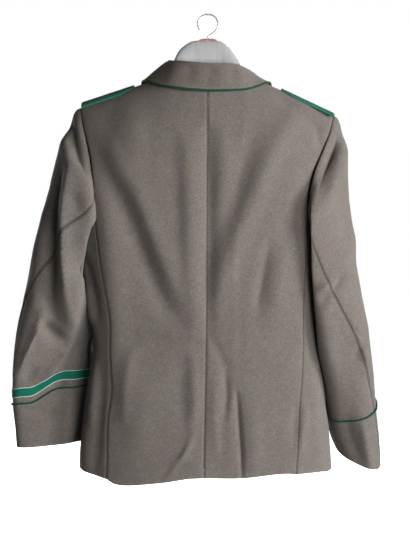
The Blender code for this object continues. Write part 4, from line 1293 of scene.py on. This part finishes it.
woolShades = (looks["woolDark"], looks["woolPale"])
materials = {
    "wool": woolMaterial("stoneWool", looks["wool"], *woolShades),
    "collar": woolMaterial("collarWool", looks["collarWool"], *woolShades),
    "felt": woolMaterial("greenFelt", *looks["felt"], 0.3, 0.25, 0.5, 0.08),
    # the high wear share puts the pale tone along every board edge: partly wear, partly a painted
    # highlight
    "board": woolMaterial("boardFelt", *looks["board"], 0.3, 0.3, 0.6, 0.08),
    "ribbon": ribbonMaterial(),
    "pale": plasticMaterial("palePlastic", (0.39, 0.405, 0.4), (0.2, 0.2, 0.195), 0.7, 0.0002),
    "red": plasticMaterial("redPlastic", (0.5, 0.03, 0.025), (0.3, 0.015, 0.012), 0.4, 0.0001),
    "steel": metalMaterial("brightWire", (0.62, 0.62, 0.62), (0.42, 0.42, 0.42), 0.28, 300.0),
    "button": metalMaterial("satinMetal", (0.36, 0.35, 0.32), (0.22, 0.21, 0.19), 0.42, 220.0),
}
print("materials made")


# panels

woven = ("first_row", "first_column", "last_column")  # edges that are sewn on
sideNames = {-1: "left", 1: "right"}
backs = {side: backGrid(side) for side in sideNames}
fronts = {side: frontGrid(side) for side in sideNames}
sides = {side: sideGrid(side) for side in sideNames}
for side, word in sideNames.items():
    clothPanel(word + "BackCloth", "back_" + word, backs[side], woven)
    clothPanel(word + "FrontCloth", "front_" + word, fronts[side], (woven[0], woven[2]))
    clothPanel(word + "SideCloth", "side_" + word, sides[side], woven)
print("body panels made")


# sleeves

sleeveFinish = {
    "lengthStep": 3.6,  # mm between rows
    "aroundSteps": 6,
    "settle": 0.5,  # stations over which the folds grow from the armhole
    "pleatReach": 16.0,  # mm of small pleats below the armhole
    "pleatDepth": 1.1,
    "pipingRadius": 1.75,
    "pipingLift": 1.5,
    "ribbonRows": 7,
    "ribbonLift": 0.15,
    "ribbonThick": 0.7,
    "weld": 0.00005,
}


def closedAcross(points, steps):  # a closed grid with more columns, and the first one repeated at the end
    count = points.shape[1]
    padded = np.concatenate((points[:, -3:], points, points[:, :4]), axis=1)
    places = np.array([k / steps for k in range(count * steps)] + [float(count)])
    return across(padded, np.arange(-3, count + 4), places)


def closedNormals(points, outward):
    normals = fineNormals(points[:, :-1], outward[:, :-1], closed=True)
    return np.concatenate((normals, normals[:, :1]), axis=1)


def fineSleeve(side):
    stations, points, normals = sleeveGrid(side, *armholeRing(backs[side], sides[side], fronts[side]))
    stations = np.array(stations)
    runs = np.linalg.norm(np.diff(points, axis=0), axis=2).mean(axis=1)
    places = []
    for k, run in enumerate(runs):
        fewest = 5 if k in (0, len(runs) - 1) else 2
        count = max(fewest, round(run / sleeveFinish["lengthStep"]))
        places += list(stations[k] + (stations[k + 1] - stations[k]) * np.arange(count) / count)
    places = np.array(places + [stations[-1]])
    steps = sleeveFinish["aroundSteps"]
    outer = closedAcross(through(points, stations, places), steps)
    facing = closedNormals(outer, closedAcross(through(normals, stations, places), steps))
    swell = softNoise(outer, 60.0, 5.7) + 0.5 * softNoise(outer, 22.0, 2.2)
    near = np.exp(-((distances(outer, 0) / sleeveFinish["pleatReach"]) ** 2))
    height = sleeveHeight(side, outer, facing) + weave["swell"] * swell
    height += sleeveFinish["pleatDepth"] * softNoise(outer, 13.0, 17.0) * near
    height *= np.clip(places / sleeveFinish["settle"], 0, 1)[:, None]
    outer = outer + facing * height[:, :, None]
    return places, outer, closedNormals(outer, facing)


def sleeveHalf(name, node, outer, facing, columns, trims=()):
    points = outer[:, columns].copy()
    normals = facing[:, columns]
    change, nearest, seamDistance = edgeShape(points, woven)
    points += normals * change[:, :, None]
    openSeams(points, woven[1:])
    piece = clothMesh(name, points, normals, nearest, weave["thickness"], seamDistance)
    keepSheet(finish(piece, "wool", "wool_cloth", node), points, trims)


def ribbonRing(name, node, places, outer, facing, span):  # a flat ribbon laid round a sleeve
    rows = sleeveFinish["ribbonRows"]
    thick = sleeveFinish["ribbonThick"]
    at = np.linspace(*span, rows)
    normals = through(facing, places, at)
    points = through(outer, places, at) + normals * (sleeveFinish["ribbonLift"] + thick)
    share = np.repeat(np.linspace(0, 1, rows)[:, None], points.shape[1], axis=1)
    piece = gridMesh(name, points, np.stack((distances(points, 1) * mm, share), axis=2))
    turned = ((bpy.ops.mesh.flip_normals, {}),) if turnsIn(piece, normals) else ()
    editWhole(*turned, (bpy.ops.mesh.remove_doubles, {"threshold": sleeveFinish["weld"]}))
    thicken(piece, thick * mm)
    return finish(piece, "ribbon", "green_band", node)


def cordMesh(name, centres, radius, closed, resolution=3):  # a round cord along a smooth line
    bpy.ops.curve.primitive_nurbs_path_add()
    cord = bpy.context.object
    cord.name = name
    curve = cord.data
    curve.splines.clear()
    line = curve.splines.new("POLY")
    line.points.add(len(centres) - 1)
    flat = np.concatenate((np.asarray(centres) * mm, np.ones((len(centres), 1))), axis=1)
    line.points.foreach_set("co", flat.reshape(-1))
    line.use_cyclic_u = closed
    curve.dimensions = "3D"
    curve.twist_mode = "MINIMUM"
    curve.bevel_depth = radius * mm
    curve.bevel_resolution = resolution
    curve.use_fill_caps = not closed
    bpy.ops.object.convert(target="MESH")
    cord = bpy.context.object
    cord.data.name = name
    bpy.ops.object.shade_smooth_by_angle(angle=math.radians(60))
    return cord


def cuffTrims(side, word, places, outer, facing):
    at = np.array([sum(cuff[side]["piping"]) / 2])
    line = through(outer, places, at) + through(facing, places, at) * sleeveFinish["pipingLift"]
    piping = cordMesh(word + "CuffPiping", line[0][:-1], sleeveFinish["pipingRadius"], True)
    trims = [finish(piping, "felt", "green_piping", "cuff_piping_" + word)]
    if cuff[side]["band"]:
        name = word + "CuffRibbon"
        trims.append(ribbonRing(name, "cuff_band_" + word, places, outer, facing, cuff[side]["band"]))
    return trims


for side, word in sideNames.items():
    places, outer, facing = fineSleeve(side)
    split = upperColumns * sleeveFinish["aroundSteps"]
    upper, under = slice(0, split + 1), slice(split, None)
    trims = []
    sleeveHalf(word + "UpperSleeveCloth", "sleeve_upper_" + word, outer, facing, upper, trims)
    sleeveHalf(word + "UnderSleeveCloth", "sleeve_under_" + word, outer, facing, under)
    trims += cuffTrims(side, word, places, outer, facing)
print("sleeves made")


# collar

collarFinish = {
    "roll": 2.2,  # radius of the fold at the top, mm
    "rollTurns": (175, 140, 105, 70, 35, 0),  # degrees round the fold
    "drop": 2.0,
    "deepest": -1.9,
    "thickness": 0.0018,
    "standThickness": 0.0016,
    "standSize": (4, 24),
    "standBack": 0.55,  # share of the collar that stands on the back's neck curve
    "standDrop": 22.0,  # how far the stand's ends come down in front
    "dents": (
        (8, -2.2, 1.8, -32, -92, -34, -140),
        (9, -1.9, 1.8, 4, -92, 2, -140),
        (8, -2.1, 1.8, 45, -92, 47, -138),
        (13, 1.4, 2, -58, -92, -62, -135),
        (12, 1.2, 2, 24, -92, 25, -140),
        (8, -1.4, 2, -78, -100, -88, -135),
        (9, -1.2, 2, 72, -104, 84, -132),
    ),
}


def outOf(grid, middle):  # normals of a coarse grid, turned so that the one at a place looks back
    normals = gridNormals(grid, closed=False)
    return -normals if normals[middle][1] > 0 else normals


def placesWith(count, steps, *extra):  # even places along a line of points, and a few more
    return np.array(sorted(set([k / steps for k in range(count * steps + 1)] + list(extra))))


def collarCloth():
    rounds = [-1 + 2 * j / collarRows for j in range(collarRows + 1)]
    downs = [i / collarColumns for i in range(collarColumns + 1)]
    coarse = np.array([[collarPoint(around, down) for around in rounds] for down in downs])
    guide = outOf(coarse, (2, collarRows // 2))
    rows = placesWith(collarColumns, 6, 0.02, collarColumns - 0.04)[1:]
    columns = placesWith(collarRows, 4, 0.03, 0.1, collarRows - 0.03, collarRows - 0.1)
    outer = fineGrid(coarse, rows, columns)
    facing = fineNormals(outer, fineGrid(guide, rows, columns))
    share = (rows / collarColumns)[:, None]
    height = foldHeights(outer, collarFinish["dents"]) * np.clip(-facing[:, :, 1] / 0.4, 0, 1)
    height = height * np.clip(share / 0.25, 0, 1) * (1 - 0.6 * share) + softNoise(outer, 26.0, 8.8) * 0.45
    outer = outer + facing * np.maximum(height, collarFinish["deepest"])[:, :, None]
    facing = fineNormals(outer, facing)
    level = units(facing[0] * (1, 1, 0)) * collarFinish["roll"]
    middle = outer[0] - (0, 0, collarFinish["drop"]) - level
    roll = []
    for turn in map(math.radians, collarFinish["rollTurns"]):
        roll.append(middle + level * math.cos(turn) + (0, 0, collarFinish["roll"] * math.sin(turn)))
    points = np.concatenate((roll, outer[2:]))
    normals = fineNormals(points, np.concatenate((np.repeat(facing[:1], len(roll), axis=0), facing[2:])))
    nearest = nearestOf(edgeDistances(points), ("first_column", "last_column", "last_row"))
    piece = clothMesh("collarFallCloth", points, normals, nearest, collarFinish["thickness"])
    return finish(piece, "collar", "wool_cloth", "collar_fall"), points, normals


collarPiece, collarPoints, collarNormals = collarCloth()
ends = collarPoints[-1] - collarNormals[-1] * wall / 2
away = units(collarPoints[-1] - collarPoints[-3]) * (pipingRadius + 0.3)
line = [standOff(point, pipingRadius + 0.9) for point in ends + away]
collarCord = cordMesh("collarPipingCord", line, pipingRadius, False)
finish(collarCord, "felt", "green_piping", "collar_piping")
keepSheet(collarPiece, collarPoints, [collarCord])


def standEnds(around):  # the foot and the top of the stand at a place round the neck
    station = abs(around)
    side = -1 if around < 0 else 1
    back = collarFinish["standBack"]
    inFront = station > back
    if inFront:
        z = neckPointZ - (station - back) / (standEnd - back) * collarFinish["standDrop"]
        x = frontEdgeX(z, side)
    else:
        x = side * (neckHalf + 0.5) * math.sin(station / back * math.pi / 2)
        z = backTop(side * min(abs(x), neckHalf - 0.01))
    turn = turnAt(x, z, front=inFront)
    foot = bodyBase(turn, z) + bodyNormal(turn, z) * 0.9 + (0, 0, 1.4)
    fold = collarPoint(around, 0.0)
    inward = unit(np.array((fold[0], fold[1] + 4.0, 0.0)))
    return foot, fold - inward * (wall + 1.2) - (0, 0, 5.5)


def standCloth():  # the band that stands up from the neck to just inside the fold
    rows, columns = collarFinish["standSize"]
    stops = [standEnds(standEnd * (-1 + 2 * j / columns)) for j in range(columns + 1)]
    bottom, top = (np.array(line) for line in zip(*stops))
    coarse = np.array([bottom + (top - bottom) * i / rows for i in range(rows + 1)])
    fineRows = np.linspace(0, rows, 15)
    fineColumns = np.linspace(0, columns, 97)
    points = fineGrid(coarse, fineRows, fineColumns)
    normals = fineNormals(points, fineGrid(outOf(coarse, (1, columns // 2)), fineRows, fineColumns))
    far = edgeDistances(points)
    nearest = nearestOf(far, far)
    piece = clothMesh("collarStandCloth", points, normals, nearest, collarFinish["standThickness"])
    keepSheet(finish(piece, "collar", "wool_cloth", "collar_stand"), points)


standCloth()
print("collar made")


# lapels

lapelFinish = {
    "size": (9, 5),
    "thickness": 0.0018,
    "lift": 0.8,
    "roll": 1.4,
    "rollWidth": 9,
    "edge": 0.5,
    "edgeWidth": 1.2,
}


def lapelPoint(side, up, out):  # a point of the lapel, from its foot up and from the roll line out
    share = lapelStart[side] + (lapelTop - lapelStart[side]) * up
    z = breakZ + (neckPointZ - breakZ) * share
    width = lapelWidth * (share / lapelTop) ** 0.75
    x = frontEdgeX(z, side) + side * (width * out + 1)
    gorge = -gorgeDrop * min(out / 0.5, 1.0) + notchRise * max(out - 0.5, 0)
    height = z + gorge * up - 0.5 * width * out * (1 - up)
    turn = turnAt(x, height, front=True)
    if abs(x) < lap and x * side < 0:
        turn = -turn
    lift = lapelGap + wall + (lapLift(x, height) if side < 0 else 0)
    return bodyBase(turn, height) + bodyNormal(turn, height) * lift


def lapelCloth(side):
    rows, columns = lapelFinish["size"]
    ups, outs = (np.arange(count + 1) / count for count in (rows, columns))
    coarse = np.array([[lapelPoint(side, up, out) for out in outs] for up in ups])
    guide = gridNormals(coarse, closed=False)
    if guide[:, :, 1].mean() < 0:
        guide = -guide
    fineRows = np.linspace(0, rows, 91)
    fineColumns = placesWith(columns, 6, 0.02, 0.06, columns - 0.02, columns - 0.06)
    outer = fineGrid(coarse, fineRows, fineColumns)
    normals = fineNormals(outer, fineGrid(guide, fineRows, fineColumns))
    far = edgeDistances(outer)
    nearest = nearestOf(far, far)
    lift = lapelFinish["lift"] + 0.5 * softNoise(outer, 30.0, 4.4)
    lift += lapelFinish["roll"] * np.exp(-((far["first_column"] / lapelFinish["rollWidth"]) ** 2))
    lift -= lapelFinish["edge"] * np.exp(-((nearest / lapelFinish["edgeWidth"]) ** 2))
    outer = outer + normals * lift[:, :, None]
    name = sideNames[side]
    # the outline is passed as a seam too, so the lapel's edge gets a painted shadow
    piece = clothMesh(name + "LapelCloth", outer, normals, nearest, lapelFinish["thickness"], nearest)
    keepSheet(finish(piece, "wool", "wool_cloth", "lapel_" + name), outer)


for side in sideNames:
    lapelCloth(side)
print("lapels made")


# shoulder boards

boardFinish = {"size": (60, 28), "reach": 3.5, "drop": 3.0}  # mm that the hind edge goes out and down


def upwardSheet(name, top, thickness, change=None):  # a sheet that faces up, with its edges rounded off
    normals = fineNormals(top, np.array((0, 0, 1.0)) + top * 0)
    far = edgeDistances(top)
    nearest = nearestOf(far, far)
    if change:
        top = top + normals * change(top, nearest)[:, :, None]
    return clothMesh(name, top, normals, nearest, thickness)


def roundedEdge(top, nearest):
    return 0.15 * softNoise(top, 9.0, 6.1) - 0.9 * np.exp(-((nearest / 0.9) ** 2))


def shoulderBoard(side, word):
    bend = boardShape[side]["bend"]
    rows, columns = boardFinish["size"]
    top = np.zeros((rows + 1, columns + 1, 3))
    for i, share in enumerate(np.linspace(0, 1, rows + 1)):
        half = boardHalf * min(1.0, 0.55 + 2.6 * share)
        x = boardIn + (boardOut - boardIn) * share
        seat = shoulderLine(side * x) + 0.6 + boardShape[side]["lift"] * share
        for j in range(columns + 1):
            out = 2 * j / columns - 1
            behind = max(0, -out)
            y = half * out - boardFinish["reach"] * behind**2
            drop = bend - math.sqrt(bend**2 - y**2) + boardFinish["drop"] * behind**3
            top[i, j] = (side * x, y, seat + boardThick - drop)
    piece = upwardSheet(word + "ShoulderBoard", top, boardThick * mm * 0.8, roundedEdge)
    finish(piece, "board", "green_board", "shoulder_board_" + word)


for side, word in sideNames.items():
    shoulderBoard(side, word)
print("boards made")


# buttons

button = {
    "radius": 10.5,
    "base": 1.3,
    "narrow": 0.86,
    "sides": 40,
    "steps": (  # growth and rise of each ring, from the base to the dome
        (1.163, 0.25), (1.0, 0.55), (0.965, 0.35), (0.95, -0.25), (0.93, 0.75),
        (0.88, 0.75), (0.82, 0.6), (0.72, 0.45), (0.55, 0.25), (0.35, 0.08),
    ),
}


def domedButton(name):  # one button, face up at the origin
    base = button["base"] * mm
    radius = button["radius"] * mm * button["narrow"]
    size = {"vertices": button["sides"], "radius": radius, "depth": base}
    bpy.ops.mesh.primitive_cylinder_add(location=(0, 0, base / 2), **size)
    made = bpy.context.object
    made.name = name
    bpy.ops.object.transform_apply(location=True)
    bpy.ops.object.mode_set(mode="EDIT")
    bpy.ops.mesh.select_all(action="DESELECT")
    bpy.ops.object.mode_set(mode="OBJECT")
    for polygon in made.data.polygons:
        polygon.select = polygon.normal.z > 0.9
    bpy.ops.object.mode_set(mode="EDIT")
    for grow, rise in button["steps"]:
        bpy.ops.mesh.extrude_region_move(TRANSFORM_OT_translate={"value": (0, 0, rise * mm)})
        bpy.ops.transform.resize(value=(grow, grow, 1), center_override=(0, 0, 0))
    bpy.ops.object.mode_set(mode="OBJECT")
    bpy.ops.object.shade_smooth_by_angle(angle=math.radians(35))
    return made


pattern = domedButton("buttonPattern")
buttonPieces = []
for number in range(1, buttonCount + 1):
    z = joinZ + (frontHemZ - joinZ) * (breakRow + buttonRows * (number - 1)) / lowerRows
    out = bodyNormal(math.pi, z)
    seat = bodyBase(math.pi, z) + out * (lapRise + 0.9)
    right = unit(np.cross(out, np.array((0.0, 0.0, 1.0))))
    copied = pattern.copy()
    copied.data = pattern.data.copy()
    copied.name = f"domedButton{number}"
    bpy.context.scene.collection.objects.link(copied)
    base = np.array([v.co[:] for v in copied.data.vertices])
    points = base[:, :1] * right + base[:, 1:2] * np.cross(out, right) + base[:, 2:] * out + seat * mm
    copied.data.vertices.foreach_set("co", points.reshape(-1))
    copied.data.update()
    buttonPieces.append(finish(copied, "button", "button_metal", f"button_{number}"))
bpy.data.objects.remove(pattern)
print("buttons made")


# hanger

hangerFinish = {
    "sides": 28,
    "between": 5,
    "square": 2.5,
    "ends": ((0.93, 1.2), (0.8, 2.2), (0.55, 3.0), (0.2, 3.4)),  # size and reach of each ring
    "weld": 0.000001,
}


def loftedTube(name, rings):  # a closed skin over rings of points, with both ends filled
    made = gridMesh(name, np.concatenate((rings, rings[:, :1]), axis=1))
    editWhole(
        (bpy.ops.mesh.remove_doubles, {"threshold": hangerFinish["weld"]}),
        (bpy.ops.mesh.select_all, {"action": "DESELECT"}),
        (bpy.ops.mesh.select_non_manifold, {}),
        (bpy.ops.mesh.edge_face_add, {}),
        (bpy.ops.mesh.select_all, {"action": "SELECT"}),
        (bpy.ops.mesh.normals_make_consistent, {"inside": False}),
    )
    bpy.ops.object.shade_smooth_by_angle(angle=weave["smoothAngle"])
    return made


def hangerRing(x, top, height, depth):
    power = 2 / hangerFinish["square"]
    ring = []
    for turn in np.arange(hangerFinish["sides"]) * 2 * math.pi / hangerFinish["sides"]:
        rise = height / 2 * signedPower(math.cos(turn), power)
        ring.append((x, depth * signedPower(math.sin(turn), power), top - height / 2 + rise))
    return ring


def hangerBody():
    sections = np.array(hangerSections())
    keys = sections[:, 0]
    parts = hangerFinish["between"]
    places = [a + (b - a) * k / parts for a, b in zip(keys, keys[1:]) for k in range(parts)] + [keys[-1]]
    rings = np.array([hangerRing(*section) for section in through(sections, keys, np.array(places))])
    for way in (-1, 1):
        ring = rings[0 if way < 0 else -1]
        middle = ring.mean(axis=0)
        cap = [middle + (ring - middle) * grow + (way * out, 0, 0) for grow, out in hangerFinish["ends"]]
        rings = np.concatenate((cap[::-1], rings) if way < 0 else (rings, cap))
    finish(loftedTube("mouldedHanger", rings), "pale", "pale_plastic", "hanger")


def capOnHump():
    steps, around = 40, 12
    half = 7.0
    outer = np.zeros((steps + 1, around + 1, 3))
    for i in range(steps + 1):
        x = capHalf * (2 * i / steps - 1)
        rise = max(capThick * max(1 - (x / capHalf) ** 2, 0) ** 0.5, 0.6)
        for j in range(around + 1):
            y = half * (2 * j / around - 1)
            outer[i, j] = (x, y, humpTop(x) + 0.4 + rise * (1 - 0.4 * (abs(y) / half) ** 2.5))
    finish(upwardSheet("redCap", outer, 0.001), "red", "red_plastic", "hanger_cap")


hangerBody()
capOnHump()
centres = np.array(hookCentres())
runs = np.concatenate(((0,), np.cumsum(np.linalg.norm(np.diff(centres, axis=0), axis=1))))
wire = through(centres, runs, np.linspace(0, runs[-1], 110))
finish(cordMesh("hookWire", wire, wireRadius, False, 5), "steel", "hook_steel", "hanger_hook")
print("hanger made")


# a pass over the kept sheets, which changes nothing

for piece, flat, area, onIt in sheets:
    "Sleeve" in piece.name
    if piece.name == "leftFrontCloth":
        onIt = buttonPieces


# studio

studio = {
    "floor": {"z": -1.06, "radius": 6.0, "glow": 1.25, "tones": ((0.86, 0.86, 0.86), (0.84, 0.84, 0.84))},
    "lights": {
        "key": {"place": (5.0, -2.5, -0.5), "size": 2.4, "watts": 545},
        "fill": {"place": (1.35, -2.75, -0.45), "size": 1.5, "watts": 90},
        "front": {"place": (0.9, 2.6, 0.5), "size": 1.6, "watts": 85},
        "frontFill": {"place": (-2.2, 3.1, 0.0), "size": 1.4, "watts": 75},
    },
    "aim": (0, 0, -0.45),
    "world": {"seen": 1.0, "cast": 0.03},
    "camera": {"place": (-0.0054, -3.0, -0.477), "lens": 106.78, "height": 36.0},
}


def paleFloor():  # a plain floor that the camera sees white and that throws no light up
    bpy.ops.mesh.primitive_circle_add(vertices=96, radius=studio["floor"]["radius"], fill_type="NGON")
    floor = bpy.context.object
    floor.name = "paleFloor"
    for vertex in floor.data.vertices:
        vertex.co.z = studio["floor"]["z"]
    made, tree, shader = newMaterial("paleFloor")
    tone = mixed(tree, mottle(tree, objectPlace(tree), 3.0), *studio["floor"]["tones"])
    glow = {"Emission Color": tone, "Emission Strength": studio["floor"]["glow"]}
    feed(tree, shader, {"Base Color": tone, "Roughness": 0.9, **glow})
    floor.data.materials.append(made)
    floor.visible_diffuse = False
    floor.select_set(False)


def softLight(name, place, size, watts):
    bpy.ops.object.light_add(type="AREA", location=place)
    lamp = bpy.context.object
    lamp.name = name + "Light"
    lamp.data.size = size
    lamp.data.energy = watts
    lamp.rotation_euler = (Vector(studio["aim"]) - Vector(place)).to_track_quat("-Z", "Y").to_euler()
    lamp.visible_camera = False
    lamp.select_set(False)


def paleRoom():  # white where the camera sees it, much dimmer as a light
    room = bpy.data.worlds.new("paleRoom")
    bpy.context.scene.world = room
    room.use_nodes = True
    tree = room.node_tree
    white = tree.nodes["Background"]
    feed(tree, white, {"Color": (1, 1, 1), "Strength": studio["world"]["seen"]})
    dim = put(tree, "Background", {"Color": (1, 1, 1), "Strength": studio["world"]["cast"]})
    byRay = put(tree, "LightPath", {})["Is Camera Ray"]
    both = put(tree, "MixShader", {0: byRay, 1: dim["Background"], 2: white.outputs["Background"]})
    feed(tree, tree.nodes["World Output"], {"Surface": both[0]})


paleFloor()
for name, lamp in studio["lights"].items():
    softLight(name, **lamp)
paleRoom()
bpy.context.scene.view_settings.view_transform = "Standard"
bpy.ops.object.camera_add(location=studio["camera"]["place"], rotation=(math.radians(90), 0, 0))
camera = bpy.context.object
camera.name = "photoCamera"
camera.data.sensor_fit = "VERTICAL"
camera.data.sensor_height = studio["camera"]["height"]
camera.data.lens = studio["camera"]["lens"]
bpy.context.scene.camera = camera
print("studio made")
